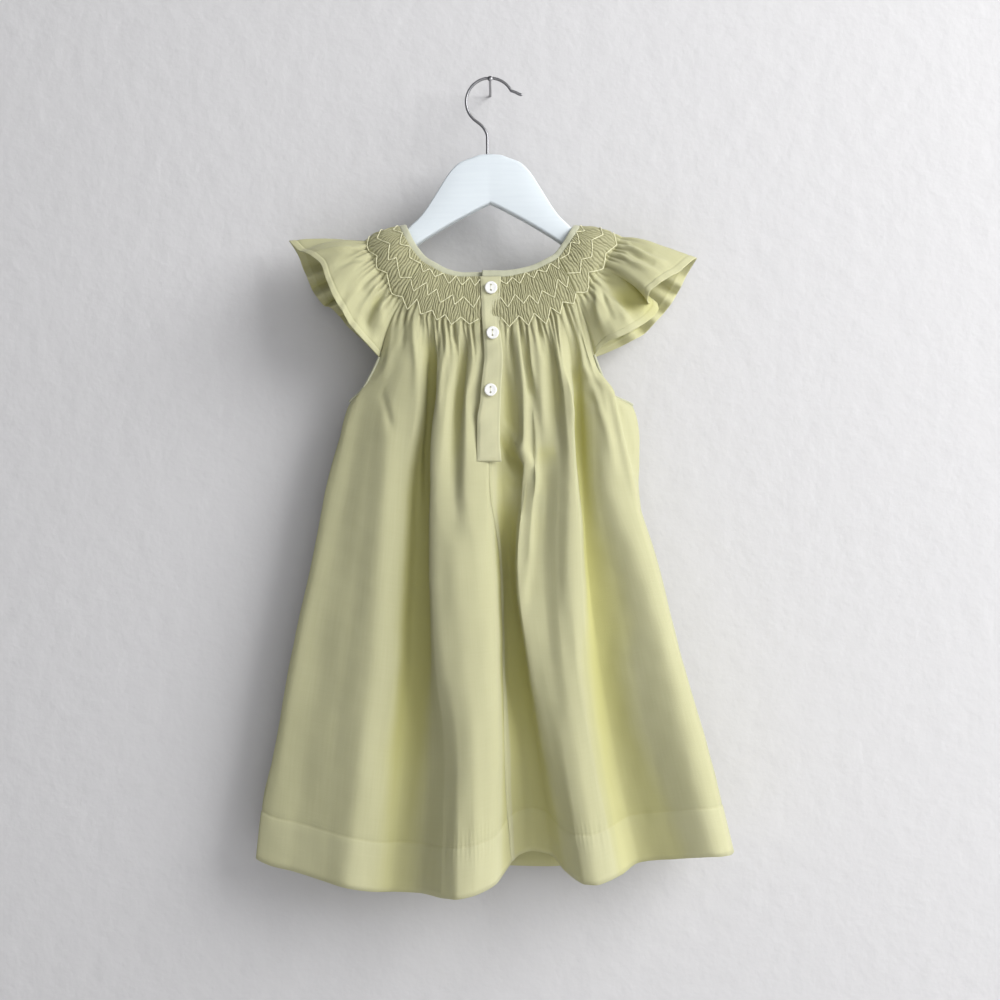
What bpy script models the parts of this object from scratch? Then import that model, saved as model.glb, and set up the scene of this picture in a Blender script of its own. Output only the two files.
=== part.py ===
"""A toddler's smocked bishop dress on a child's coat hanger, hung up by the hanger's hook.

The tables are in millimetres and the objects are built in metres. +Z is up, +X is to the right of
someone who looks at the buttons, and the buttoned back of the dress faces -Y. The origin is the
inside of the hook's bend, where the hook rests on what holds it.
"""
import math
from collections import namedtuple

import bmesh
import bpy
from mathutils import Matrix, Vector

MM = 0.001

# ---------------------------------------------------------------- cloth
CLOTH = 1.2              # wall of a single layer
HEM_CLOTH = 2.0          # wall where the cloth is turned up
SEAM_GAP = 0.3           # between pieces that touch
PLEAT_RISE = 0.9         # height of a smocked pleat over the wall
YOKE_PUFF = 2.5          # how far the smocked yoke bows out between neck and skirt
PLEATS = {"back": 22, "sleeve": 30, "front": 42}
YOKE_ROWS = (0.0, 0.3, 0.65, 1.0)
YOKE_LINING_COLUMNS = 12

# ---------------------------------------------------------------- gathers below the smocking
GATHER_DEPTH = 1.9
GATHER_COUNT = {"back": 7, "sleeve": 7, "front": 12}
GATHER_COLUMNS = {"back": 32, "sleeve": 32, "front": 52}
GATHER_ROWS = (0.016, 0.045, 0.075)
GATHER_UNTIL = 0.2       # share of the skirt's length that has the gathers' columns
SKIRT_ROWS = (0.24, 0.32, 0.42, 0.53, 0.65, 0.78)
SKIRT_HEM = 0.914        # share of the skirt's length where its deep hem begins
FOLD_STEPS = {"back": 2, "front": 3}     # columns from one fold line to the next

# ---------------------------------------------------------------- yoke
# One row for each station from the centre back to the shoulder: where the neck seam and the
# yoke's lower edge are (x, z) on the right and left side, how proud of the hanger's plane they
# stand, and how much lower the same station is on the front.
Station = namedtuple("Station", "neck_right neck_left neck_proud yoke_right yoke_left yoke_proud front_drop")
STATIONS = (
    Station((0.0, -167.0), (0.0, -167.0), 20.0, (0.0, -208.0), (0.0, -208.0), 27.0, 12.0),
    Station((12.5, -167.0), (-12.0, -167.0), 20.0, (16.5, -208.0), (-16.0, -208.0), 27.0, 12.0),
    Station((24.5, -165.0), (-24.5, -167.0), 20.0, (32.5, -206.5), (-32.0, -206.0), 27.0, 11.0),
    Station((37.0, -161.5), (-36.5, -164.5), 19.0, (49.0, -203.0), (-48.5, -202.0), 26.0, 8.0),
    Station((48.0, -156.0), (-47.0, -159.0), 18.0, (61.0, -195.5), (-61.0, -194.0), 24.5, 4.0),
    Station((56.0, -151.0), (-55.5, -153.5), 16.0, (72.0, -187.0), (-73.0, -189.0), 22.0, 0.0),
    Station((63.0, -141.5), (-64.0, -143.0), 13.5, (82.0, -174.0), (-83.0, -176.0), 18.5, 0.0),
    Station((69.5, -131.5), (-70.5, -131.5), 10.5, (95.0, -155.0), (-94.0, -156.5), 13.5, 0.0),
    Station((74.5, -122.8), (-74.5, -122.8), 0.0, (109.0, -131.5), (-104.0, -134.5), 0.0, 0.0),
)
SHOULDER = len(STATIONS) - 1
RAGLAN = 5
RING_STATIONS = 4 * SHOULDER
PLACKET_HALF_SHARE = 0.15    # share of a back panel's yoke that the placket covers

# ---------------------------------------------------------------- skirt edges
# The outer edge of the body panels, the same on back and front: down the raglan seam to the
# sleeve's end, round the armhole, and down the side seam to the hem.
Edge = namedtuple("Edge", "z x proud")
LEFT_EDGE = (
    Edge(-210.0, -83.5, 19.0), Edge(-232.0, -90.5, 15.0), Edge(-247.0, -98.0, 12.0),
    Edge(-259.0, -106.0, 7.0), Edge(-268.5, -117.0, 0.0), Edge(-299.0, -126.0, 0.0),
    Edge(-333.0, -135.5, 0.0), Edge(-399.0, -148.5, 0.0), Edge(-474.0, -165.0, 0.0),
    Edge(-557.0, -180.0, 0.0), Edge(-598.0, -189.0, 0.0), Edge(-645.0, -195.0, 0.0),
)
RIGHT_EDGE = (
    Edge(-208.0, 79.5, 19.0), Edge(-230.0, 85.5, 15.0), Edge(-248.0, 92.5, 12.0),
    Edge(-261.0, 99.0, 7.5), Edge(-271.5, 119.5, 0.0), Edge(-300.0, 124.5, 0.0),
    Edge(-341.0, 123.5, 0.0), Edge(-399.0, 138.5, 0.0), Edge(-474.0, 157.0, 0.0),
    Edge(-557.0, 180.0, 0.0), Edge(-598.0, 191.0, 0.0), Edge(-639.0, 201.5, 0.0),
)
SLEEVE_END = 1           # row of an edge table where the sleeve's hem meets the raglan seam
UNDERARM = 4             # row of an edge table under the arm

# ---------------------------------------------------------------- folds
# Each row is one fold line, a crest or a hollow, from the yoke to the hem. start is its place
# along the panel's yoke edge, from 0 at the left to 1 at the right. The other cells are its x and
# how proud it stands at that height, and at the hem also its z.
FOLD_HEIGHTS = (-235.0, -269.0, -333.0, -398.0, -471.0, -551.0)
Fold = namedtuple("Fold", "start cap underarm chest waist hip knee hem")
CENTRE_BACK = ((0, 28), (-1, 28), (0, 27), (9, 13), (11, 12), (12, 22), (18, 12, -646))
BACK_LEFT_FOLDS = (
    Fold(0.04, (-88, 16), (-112, 6), (-128, 5), (-142, 5.5), (-158, 6), (-172, 6), (-184, 5.5, -650)),
    Fold(0.10, (-82, 20), (-104, 8.5), (-118, 6.5), (-130, 7.5), (-142, 8.5), (-153, 9.5), (-162, 10.5, -654)),
    Fold(0.16, (-76, 22), (-92, 13), (-102, 13.5), (-109, 15), (-119, 16.5), (-128, 18.5), (-137, 20, -659)),
    Fold(0.22, (-66, 24), (-78, 18.5), (-84, 20.5), (-88, 22.5), (-94, 25), (-102, 27.5), (-114, 29, -663)),
    Fold(0.27, (-58, 24), (-62, 18.5), (-69, 17), (-73, 18), (-77, 20.5), (-85, 23), (-95, 24, -667)),
    Fold(0.32, (-50, 19), (-54, 11), (-59, 7), (-61, 5), (-64, 7), (-69, 11), (-80, 17, -669)),
    Fold(0.37, (-47, 18), (-50, 8), (-52, 6), (-50.5, 9), (-49, 14), (-52, 20), (-58, 24, -668)),
    Fold(0.42, (-43, 27), (-46.5, 24), (-48.5, 28), (-47.5, 32), (-44.5, 37), (-36, 38), (-38, 50, -664.5)),
    Fold(0.54, (-33, 27), (-36, 28), (-41, 31), (-37, 37), (-33, 43), (-24, 47), (-24, 60, -662.5)),
    Fold(0.66, (-24, 22), (-25.5, 22), (-29, 29), (-26, 39), (-21, 45), (-14, 49), (-13, 58, -660.5)),
    Fold(0.78, (-14, 28), (-19, 29), (-19, 34), (-13, 38), (-8, 43), (-4, 46), (-4, 53, -658)),
    Fold(0.90, (-7, 26), (-9, 25), (-3, 30), (1, 32), (5, 36), (6, 39), (4, 46, -655)),
    Fold(1.00, *CENTRE_BACK),
)
BACK_RIGHT_FOLDS = (
    Fold(0.00, *CENTRE_BACK),
    Fold(0.09, (8, 26), (9, 24), (12, 15), (13, 7), (15, 5), (20, 12), (24, 2, -643)),
    Fold(0.16, (13, 24), (15.5, 17.5), (17, 10), (16, 5), (22, 3), (30, 7), (36, -3, -641)),
    Fold(0.22, (18, 24), (21, 20), (22, 15), (20, 11), (28, 8), (38, 10), (50, 2, -643)),
    Fold(0.28, (25, 29.5), (27.5, 29), (27, 30), (22.5, 29), (30, 32), (43, 29), (61, 29, -649)),
    Fold(0.36, (31, 26), (35, 25.5), (36, 25), (32, 26), (39, 34), (52, 38), (70, 45, -652)),
    Fold(0.44, (40, 28.5), (42, 28.5), (45, 24.5), (42, 26), (48, 35), (60, 43), (76, 52, -653)),
    Fold(0.54, (49, 24), (53, 22.5), (56, 29.5), (54, 31), (59, 39), (69, 44.5), (84, 54, -653)),
    Fold(0.64, (56, 29.5), (61, 31), (65, 34), (64, 35), (68, 39), (79, 42), (94, 51, -651)),
    Fold(0.72, (58.5, 29), (66.5, 31), (71.5, 32), (74, 32), (77, 34), (88, 37), (106, 43, -647.5)),
    Fold(0.77, (67, 16), (70, 14), (75, 13.5), (79.5, 15), (88, 27), (101, 31), (121, 31, -643)),
    Fold(0.86, (76, 21), (84, 22), (86, 20.5), (97, 20.5), (111, 33.5), (126, 38.5), (144, 37.5, -637)),
    Fold(0.93, (81, 21), (93, 24), (98, 25), (119, 28), (139, 43.5), (157, 48.5), (173, 48, -631)),
    Fold(0.975, (84, 18), (106, 17), (114, 20), (131, 24), (151, 37.5), (172, 42), (188, 43, -631)),
)
FRONT_FOLDS = (
    Fold(0.04, (-84, 18), (-108, 11), (-121, 10), (-133, 10), (-148, 11), (-163, 12), (-176, 12, -650)),
    Fold(0.14, (-68, 17), (-84, 15), (-98, 13), (-108, 13), (-118, 14), (-128, 15), (-138, 15, -654)),
    Fold(0.26, (-50, 25), (-62, 26), (-70, 27), (-78, 28), (-88, 29), (-98, 30), (-108, 31, -657)),
    Fold(0.38, (-29, 20), (-38, 18), (-46, 15), (-52, 14), (-58, 14), (-64, 15), (-68, 16, -655)),
    Fold(0.50, (0, 27), (-4, 28), (-8, 29), (-12, 30), (-14, 31), (-16, 32), (-18, 32, -660)),
    Fold(0.62, (28, 20), (34, 18), (36, 15), (40, 14), (44, 14), (48, 15), (52, 15, -657)),
    Fold(0.75, (50, 25), (63, 26), (70, 27), (82, 28), (94, 29), (106, 30), (118, 31, -656)),
    Fold(0.87, (66, 18), (84, 15), (94, 14), (110, 14), (125, 15), (142, 15), (158, 14, -649)),
    Fold(0.96, (78, 18), (108, 11), (112, 10), (127, 10), (145, 10), (167, 11), (186, 10, -643)),
)

# ---------------------------------------------------------------- sleeves
# The hem of each cap sleeve, from the back raglan seam over the shoulder to the front one.
Ruffle = namedtuple("Ruffle", "share x y z")
LEFT_SLEEVE_HEM = (
    Ruffle(0.10, -103.5, -24.0, -219.0), Ruffle(0.18, -112.0, -23.0, -209.0),
    Ruffle(0.26, -117.0, -29.0, -199.0), Ruffle(0.34, -125.0, -30.0, -185.0),
    Ruffle(0.41, -133.0, -24.0, -170.0), Ruffle(0.46, -141.0, -15.0, -154.0),
    Ruffle(0.50, -154.0, -6.0, -143.5), Ruffle(0.54, -167.0, 5.0, -133.0),
    Ruffle(0.61, -160.0, 17.0, -148.0), Ruffle(0.69, -156.0, 26.0, -165.0),
    Ruffle(0.77, -144.0, 23.0, -181.0), Ruffle(0.85, -129.0, 27.0, -192.0),
    Ruffle(0.92, -117.0, 19.0, -207.0),
)
RIGHT_SLEEVE_HEM = (
    Ruffle(0.10, 98.0, -24.0, -221.0), Ruffle(0.20, 115.0, -29.0, -214.0),
    Ruffle(0.30, 133.0, -26.0, -200.0), Ruffle(0.36, 129.5, -15.0, -188.5),
    Ruffle(0.42, 136.0, -22.0, -175.0), Ruffle(0.47, 155.0, -17.0, -162.0),
    Ruffle(0.50, 166.5, -8.0, -152.0), Ruffle(0.54, 172.5, 4.0, -147.0),
    Ruffle(0.60, 167.0, 16.0, -159.0), Ruffle(0.67, 159.0, 25.0, -172.5),
    Ruffle(0.75, 148.0, 22.0, -188.0), Ruffle(0.83, 134.0, 26.0, -206.0),
    Ruffle(0.92, 111.0, 18.0, -217.0),
)
SLEEVE_ROWS = (0.12, 0.3, 0.5, 0.72, 0.9)
SLEEVE_HEM = 0.91        # share of the flounce's length where its narrow hem begins
SLEEVE_PUFF = 4.0        # how far the flounce arches out from the arm of the hanger
SLEEVE_AXIS_Z = -190.0   # the flounce arches away from this height

# ---------------------------------------------------------------- trimmings
BINDING_HALF_WIDTH = 3.0
BINDING_HALF_THICK = 1.45
BINDING_LAP = (-0.55, 0.75)   # stations where the outer and the inner end of the binding lie
BINDING_LIFT = (              # station, and how far the strip stands out from the neck seam there
    (-0.55, 1.4), (1.5, 1.4), (3.0, -0.3), (6.0, -0.3), (8.0, 0.7), (10.0, -0.3),
    (22.0, -0.3), (24.0, 0.7), (26.0, -0.3), (28.5, -0.3), (30.5, -2.1), (32.75, -2.1),
)
BINDING_STEPS = 66
BINDING_SIDES = 8
ARMHOLE_CORD = 1.3            # radius of the bound armhole edge
ARMHOLE_GAP = 0.8             # clears the corner of the panel's wall
ARMHOLE_STEPS = 20
PLACKET_LEFT = ((-171.0, -7.5), (-236.0, -5.0), (-270.0, -8.0), (-318.0, -11.0))     # z, x
PLACKET_RIGHT = ((-171.0, 8.5), (-236.0, 9.0), (-270.0, 9.0), (-318.0, 10.5))
PLACKET_THICK = 1.4
PLACKET_GAP = 0.6
PLACKET_ROWS = 16
PLACKET_COLUMNS = 6
BUTTON_RADIUS = 5.1
BUTTON_THICK = 2.2
BUTTON_HOLE = 0.75
BUTTON_HOLE_OFFSET = 2.1
BUTTONS = ((1.0, -177.0), (2.3, -214.0), (0.7, -260.0))    # x, z

# ---------------------------------------------------------------- hanger
Arm = namedtuple("Arm", "x top bottom half_thick")
HANGER_ARM = (
    Arm(0.0, -62.8, -103.5, 5.5), Arm(8.0, -63.2, -107.2, 5.5), Arm(15.0, -65.6, -110.8, 5.5),
    Arm(24.5, -69.3, -115.8, 5.5), Arm(30.5, -74.3, -119.2, 5.5), Arm(36.0, -81.4, -122.3, 5.5),
    Arm(41.0, -89.4, -125.3, 5.5), Arm(46.5, -98.3, -128.6, 5.5), Arm(52.5, -107.6, -132.4, 5.5),
    Arm(58.5, -115.2, -136.6, 5.5), Arm(65.0, -121.2, -141.0, 5.4), Arm(71.0, -127.4, -144.6, 5.2),
    Arm(79.0, -132.4, -148.6, 5.1), Arm(91.0, -137.0, -153.4, 4.9), Arm(105.0, -142.6, -157.4, 4.7),
    Arm(118.0, -146.5, -160.6, 4.5), Arm(126.0, -149.5, -161.6, 4.2), Arm(129.0, -152.4, -160.0, 3.0),
)
HANGER_SECTION_POINTS = 12
HOOK_WIRE = 1.2           # radius
HOOK_BEND = 19.8          # radius of the wire's centre line
HOOK_SHANK_X = -2.2
HOOK_FOOT_Z = -62.5
HOOK_SHANK_TOP_Z = -48.0
HOOK_BEND_START = 236.0   # degrees anticlockwise from +X, where the shank's curve joins the bend
HOOK_BEND_END = 28.0
HOOK_TIP = ((21.2, -10.6), (24.2, -12.2), (27.0, -13.0))     # x, z past the bend

MATERIALS = {
    "cloth": ((0.56, 0.57, 0.34, 1.0), 0.85, 0.0),
    "smocking": ((0.50, 0.50, 0.32, 1.0), 0.9, 0.0),
    "button": ((0.93, 0.93, 0.9, 1.0), 0.25, 0.0),
    "paint": ((0.86, 0.89, 0.9, 1.0), 0.35, 0.0),
    "steel": ((0.62, 0.62, 0.62, 1.0), 0.25, 1.0),
}


class Curve:
    """A smooth curve through a table of values, which never overshoots them."""

    def __init__(self, at, values, flat_start=0.0, flat_end=0.0):
        self.at = list(at)
        self.values = list(values)
        steps = [b - a for a, b in zip(self.at, self.at[1:])]
        rises = [(b - a) / step for a, b, step in zip(self.values, self.values[1:], steps)]
        slopes = [rises[0] * (1.0 - flat_start)]
        for k in range(1, len(steps)):
            if rises[k - 1] * rises[k] <= 0.0:
                slopes.append(0.0)
                continue
            before = 2.0 * steps[k] + steps[k - 1]
            after = steps[k] + 2.0 * steps[k - 1]
            slopes.append((before + after) / (before / rises[k - 1] + after / rises[k]))
        slopes.append(rises[-1] * (1.0 - flat_end))
        self.slopes = slopes

    def __call__(self, where):
        where = min(max(where, self.at[0]), self.at[-1])
        k = 0
        while k < len(self.at) - 2 and where > self.at[k + 1]:
            k += 1
        step = self.at[k + 1] - self.at[k]
        u = (where - self.at[k]) / step
        return ((2 * u ** 3 - 3 * u ** 2 + 1) * self.values[k]
                + (u ** 3 - 2 * u ** 2 + u) * step * self.slopes[k]
                + (-2 * u ** 3 + 3 * u ** 2) * self.values[k + 1]
                + (u ** 3 - u ** 2) * step * self.slopes[k + 1])


def smooth(u):
    """0 below 0, 1 above 1, with a soft step between."""
    u = min(max(u, 0.0), 1.0)
    return u * u * (3.0 - 2.0 * u)


def ring_points():
    """The yoke's two rings, from the centre back by the right shoulder round to the left one."""
    neck, lower = [], []
    for k in range(RING_STATIONS):
        quarter, step = divmod(k, SHOULDER)
        row = STATIONS[step if quarter % 2 == 0 else SHOULDER - step]
        right = quarter in (0, 1)
        front = quarter in (1, 2)
        side = 1.0 if front else -1.0
        drop = row.front_drop if front else 0.0
        x, z = row.neck_right if right else row.neck_left
        neck.append(Vector((x, side * row.neck_proud, z - drop)))
        x, z = row.yoke_right if right else row.yoke_left
        lower.append(Vector((x, side * row.yoke_proud, z - drop)))
    return neck, lower


NECK_RING, YOKE_RING = ring_points()


def on_ring(ring, station):
    """The point of a closed ring at a station, which may lie between two rows."""
    k = math.floor(station)
    u = station - k
    a, b, c, d = (ring[(k + n) % RING_STATIONS] for n in (-1, 0, 1, 2))
    return 0.5 * ((2 * b) + (c - a) * u + (2 * a - 5 * b + 4 * c - d) * u ** 2
                  + (3 * b - a - 3 * c + d) * u ** 3)


def yoke_point(station, w):
    """The yoke's outer face: w runs from 0 at the neck to 1 at the skirt."""
    neck = on_ring(NECK_RING, station)
    lower = on_ring(YOKE_RING, station)
    along = on_ring(YOKE_RING, station + 0.05) - on_ring(YOKE_RING, station - 0.05)
    out = along.cross(lower - neck).normalized()
    return neck.lerp(lower, w) - out * YOKE_PUFF * math.sin(math.pi * w)


class EdgeLine:
    """The outer edge of the body panels, from the yoke's raglan point down to the hem."""

    def __init__(self, station, edge):
        top = yoke_point(station, 1.0)
        heights = [-top.z] + [-row.z for row in edge]
        self.x = Curve(heights, [top.x] + [row.x for row in edge])
        self.proud = Curve(heights, [abs(top.y)] + [row.proud for row in edge])
        self.top = top
        self.cap_z = edge[SLEEVE_END].z
        self.underarm_z = edge[UNDERARM].z
        self.hem_z = edge[-1].z
        length = edge[-1].z - top.z
        self.armhole_rows = [(row.z - top.z) / length for row in edge[SLEEVE_END:UNDERARM + 1]]

    def point(self, z, side):
        """The edge at a height; side is -1 on the back and 1 on the front."""
        return Vector((self.x(-z), side * self.proud(-z), z))


class Piece:
    """A cut piece from the neck seam to its hem, as a surface over (c, w).

    c runs from 0 to 1 across the piece. w runs from 0 at the neck to 1 at the yoke's lower edge,
    and on to 2 at the hem.
    """

    kind = "back"
    hem_from = SKIRT_HEM

    def __init__(self, first_station, last_station):
        self.stations = self.even_stations(first_station, last_station)
        self.seams = {0.0: [], 1.0: []}

    @staticmethod
    def even_stations(first, last, steps=60):
        """Turns equal shares of the yoke's lower edge into stations."""
        stations = [first + (last - first) * k / steps for k in range(steps + 1)]
        points = [yoke_point(station, 1.0) for station in stations]
        run = [0.0]
        for a, b in zip(points, points[1:]):
            run.append(run[-1] + (b - a).length)
        return Curve([length / run[-1] for length in run], stations)

    def point(self, c, w):
        """The outer face, without pleats."""
        if w <= 1.0:
            return yoke_point(self.stations(c), w)
        return self.below_yoke(c, w - 1.0)

    def normal(self, c, w, step=0.012):
        """The direction out of the cloth."""
        across = self.point(min(c + step, 1.0), w) - self.point(max(c - step, 0.0), w)
        down = self.point(c, min(w + step, 2.0)) - self.point(c, max(w - step, 0.0))
        return self.outward * across.cross(down).normalized()

    def seam_normal(self, c, w):
        """The direction out of the cloth, shared with the next piece along a seam."""
        own = self.normal(c, w)
        z = self.point(c, w).z
        for other, other_c, high, low in self.seams.get(c, ()):
            if low <= z <= high:
                there = w if w <= 1.0 else other.place_at(other_c, z)
                return (own + other.normal(other_c, there)).normalized()
        return own

    def gather(self, c, t):
        """How far the gathers below the smocking stand out."""
        rise, fall = self.gather_span
        swell = smooth(t / rise) * (1.0 - smooth((t - rise) / (fall - rise)))
        uneven = c + 0.02 * math.sin(9.0 * c + 1.0)
        edge = smooth(c / 0.08) * smooth((1.0 - c) / 0.08)
        return GATHER_DEPTH * swell * edge * math.sin(2.0 * math.pi * GATHER_COUNT[self.kind] * uneven)

    def thickness(self, w):
        return HEM_CLOTH if w > 1.0 + self.hem_from else CLOTH

    def pleat(self, c, column):
        """The smocked pleats' height: every other column is a crest."""
        return PLEAT_RISE if column % 2 and self.is_smocked(c) else 0.0

    def is_smocked(self, c):
        return True

    def columns(self, w):
        """The places across the piece of the columns at w, on the outer face."""
        if w <= 1.0:
            count = 2 * PLEATS[self.kind]
        elif w - 1.0 <= self.gather_until:
            count = GATHER_COLUMNS[self.kind]
        else:
            return self.fold_columns()
        return [k / count for k in range(count + 1)]

    def seam_shift(self, c, w):
        """Draws an edge point back from the seam by half of the gap."""
        if 0.0 < c < 1.0:
            return Vector()
        inner = 0.01 if c == 0.0 else 0.99
        inward = (self.point(inner, w) - self.point(c, w)).normalized()
        return inward * SEAM_GAP * 0.6

    def moved(self, c, w, outwards):
        """A point of the wall, moved out of the face or, below 0, into it."""
        return self.point(c, w) + self.seam_normal(c, w) * outwards + self.seam_shift(c, w)

    def rows(self):
        """Every row's place from the neck to the hem."""
        skirt = [1.0 + t for t in sorted(self.lower_rows)]
        hem = 1.0 + self.hem_from
        return list(YOKE_ROWS) + skirt + [hem - 0.001, hem + 0.001, 2.0]

    def build(self, name, material):
        outer, inner = [], []
        for w in self.rows():
            row = []
            for column, c in enumerate(self.columns(w)):
                rise = self.pleat(c, column) if w <= 1.0 else 0.0
                if column in (0, len(self.columns(w)) - 1):
                    rise = 0.0
                row.append((c, self.moved(c, w, rise)))
            outer.append(row)
            lining = self.columns(w)
            if w <= 1.0:
                lining = [k / YOKE_LINING_COLUMNS for k in range(YOKE_LINING_COLUMNS + 1)]
            inner.append([(c, self.moved(c, w, -self.thickness(w))) for c in lining])
        return wall(name, outer, inner, material)


class BodyPanel(Piece):
    """A back or front panel: its folds hang from the yoke to the hem."""

    gather_span = (0.05, 0.24)
    gather_until = GATHER_UNTIL

    def __init__(self, kind, first_station, last_station, folds, armhole_rows,
                 left_edge=None, right_edge=None):
        super().__init__(first_station, last_station)
        self.kind = kind
        self.facing = 1.0 if kind == "front" else -1.0
        self.outward = self.facing
        self.left_edge = left_edge
        self.right_edge = right_edge
        self.starts, self.x_lines, self.proud_lines, hem = [], [], [], []
        if left_edge:
            self.add_line(0.0, left_edge.x, left_edge.proud)
            hem.append(left_edge.hem_z)
        for fold in folds:
            self.add_fold(fold)
            hem.append(fold.hem[2])
        if right_edge:
            self.add_line(1.0, right_edge.x, right_edge.proud)
            hem.append(right_edge.hem_z)
        self.lower_rows = [*GATHER_ROWS, *armhole_rows, *SKIRT_ROWS]
        self.hem_z = Curve(self.starts, hem)
        shares = [k / 20 for k in range(21)]
        self.top_z = Curve(shares, [yoke_point(self.stations(share), 1.0).z for share in shares])
        self.sections = {}

    def add_line(self, start, x_line, proud_line):
        self.starts.append(start)
        self.x_lines.append(x_line)
        self.proud_lines.append(proud_line)

    def add_fold(self, fold):
        top = yoke_point(self.stations(fold.start), 1.0)
        cells = fold[1:]
        heights = [-top.z] + [-z for z in FOLD_HEIGHTS] + [-fold.hem[2]]
        self.add_line(fold.start, Curve(heights, [top.x] + [cell[0] for cell in cells]),
                      Curve(heights, [abs(top.y)] + [cell[1] for cell in cells]))

    def section(self, t):
        """The level section at t: x and proudness as curves over c."""
        key = round(t, 5)
        if key not in self.sections:
            heights = [-self.height(start, t) for start in self.starts]
            turn = smooth((t - 0.12) / 0.1)
            flat_start = turn if self.left_edge else 0.0
            flat_end = turn if self.right_edge else 0.0
            xs = [line(height) for line, height in zip(self.x_lines, heights)]
            prouds = [line(height) for line, height in zip(self.proud_lines, heights)]
            across = Curve(self.starts, xs, flat_start, flat_end)
            proud = Curve(self.starts, prouds)
            self.sections[key] = (across, proud)
        return self.sections[key]

    def height(self, c, t):
        top = self.top_z(c)
        return top + (self.hem_z(c) - top) * t

    def place_at(self, c, z):
        """The w of an edge point at a height."""
        return 1.0 + (self.top_z(c) - z) / (self.top_z(c) - self.hem_z(c))

    def below_yoke(self, c, t):
        across, proud = self.section(t)
        fade = 1.0 - smooth(t / 0.12)
        start_x, start_proud = self.section(0.0)
        ring = yoke_point(self.stations(c), 1.0)
        x = across(c) + (ring.x - start_x(c)) * fade
        y = self.facing * (proud(c) + (abs(ring.y) - start_proud(c)) * fade + self.gather(c, t))
        z = self.height(c, t) + (ring.z - self.top_z(c)) * fade
        return Vector((x, y, z))

    def fold_columns(self):
        steps = FOLD_STEPS[self.kind]
        places = []
        for a, b in zip(self.starts, self.starts[1:]):
            places += [a + (b - a) * k / steps for k in range(steps)]
        return places + [1.0]

    def is_smocked(self, c):
        if self.kind == "front":
            return True
        from_centre = 1.0 - c if self.left_edge else c
        return from_centre > PLACKET_HALF_SHARE


class Sleeve(Piece):
    """A cap sleeve: smocked to the neck, with a loose flounce over the hanger's arm."""

    kind = "sleeve"
    gather_span = (0.25, 1.1)
    gather_until = 1.0
    lower_rows = SLEEVE_ROWS
    hem_from = SLEEVE_HEM

    def __init__(self, first_station, last_station, hem, edge):
        super().__init__(first_station, last_station)
        self.edge = edge
        end = edge.point(edge.cap_z, 1.0)
        shares = [0.0] + [row.share for row in hem] + [1.0]
        self.hem_x = Curve(shares, [end.x] + [row.x for row in hem] + [end.x])
        self.hem_y = Curve(shares, [-end.y] + [row.y for row in hem] + [end.y])
        self.hem_z = Curve(shares, [end.z] + [row.z for row in hem] + [end.z])
        self.outward = 1.0 if end.x < 0.0 else -1.0

    def place_at(self, c, z):
        """The w of a raglan seam point at a height."""
        return 1.0 + (self.edge.top.z - z) / (self.edge.top.z - self.edge.cap_z)

    def below_yoke(self, c, t):
        top = yoke_point(self.stations(c), 1.0)
        end = Vector((self.hem_x(c), self.hem_y(c), self.hem_z(c)))
        out = Vector((0.0, top.y, top.z - SLEEVE_AXIS_Z)).normalized()
        edge = smooth(c / 0.1) * smooth((1.0 - c) / 0.1)
        puff = SLEEVE_PUFF * math.sin(math.pi * t) * edge
        body = top.lerp(end, t) + out * (puff + self.gather(c, t))
        near = 1.0 - smooth(min(c, 1.0 - c) / 0.1)
        if near == 0.0:
            return body
        side = -1.0 if c < 0.5 else 1.0
        seam_top = self.edge.point(self.edge.top.z, side)
        seam_end = self.edge.point(self.edge.cap_z, side)
        seam = self.edge.point(seam_top.z + (seam_end.z - seam_top.z) * t, side)
        return body + (seam - seam_top.lerp(seam_end, t)) * near


def shared_rows(*edges):
    """The rows that the body panels need along the armholes, without near repeats."""
    rows = sorted(t for edge in edges for t in edge.armhole_rows)
    return [t for k, t in enumerate(rows) if k == 0 or t - rows[k - 1] > 0.006]


def join(first, first_c, second, second_c, high, low):
    """Notes that two pieces meet along their edges between two heights."""
    first.seams[first_c].append((second, second_c, high, low))
    second.seams[second_c].append((first, first_c, high, low))


def strip(bm, first, second):
    """Fills the band between two rows of (place, vertex), whatever their counts."""
    i = j = 0
    while i < len(first) - 1 or j < len(second) - 1:
        ahead = first[i + 1][0] if i < len(first) - 1 else math.inf
        behind = second[j + 1][0] if j < len(second) - 1 else math.inf
        if ahead <= behind:
            bm.faces.new((first[i][1], first[i + 1][1], second[j][1]))
            i += 1
        else:
            bm.faces.new((first[i][1], second[j + 1][1], second[j][1]))
            j += 1


def make_object(name, bm, material):
    """Ends a bmesh as an object with outward faces."""
    bmesh.ops.recalc_face_normals(bm, faces=bm.faces)
    mesh = bpy.data.meshes.new(name)
    bm.to_mesh(mesh)
    bm.free()
    mesh.materials.append(material)
    mesh.shade_smooth()
    mesh.set_sharp_from_angle(angle=math.radians(50))
    obj = bpy.data.objects.new(name, mesh)
    bpy.context.scene.collection.objects.link(obj)
    return obj


def wall(name, outer, inner, material):
    """Closes an outer and an inner sheet, each a list of rows of (place, point), into a solid."""
    bm = bmesh.new()
    sheets = []
    for sheet in (outer, inner):
        rows = [[(place, bm.verts.new(point * MM)) for place, point in row] for row in sheet]
        for above, below in zip(rows, rows[1:]):
            strip(bm, above, below)
        sheets.append(rows)
    front, back = sheets
    strip(bm, front[0], back[0])
    strip(bm, front[-1], back[-1])
    for end in (0, -1):
        edges = [[(k, row[end][1]) for k, row in enumerate(sheet)] for sheet in (front, back)]
        strip(bm, *edges)
    return make_object(name, bm, material)


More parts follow.
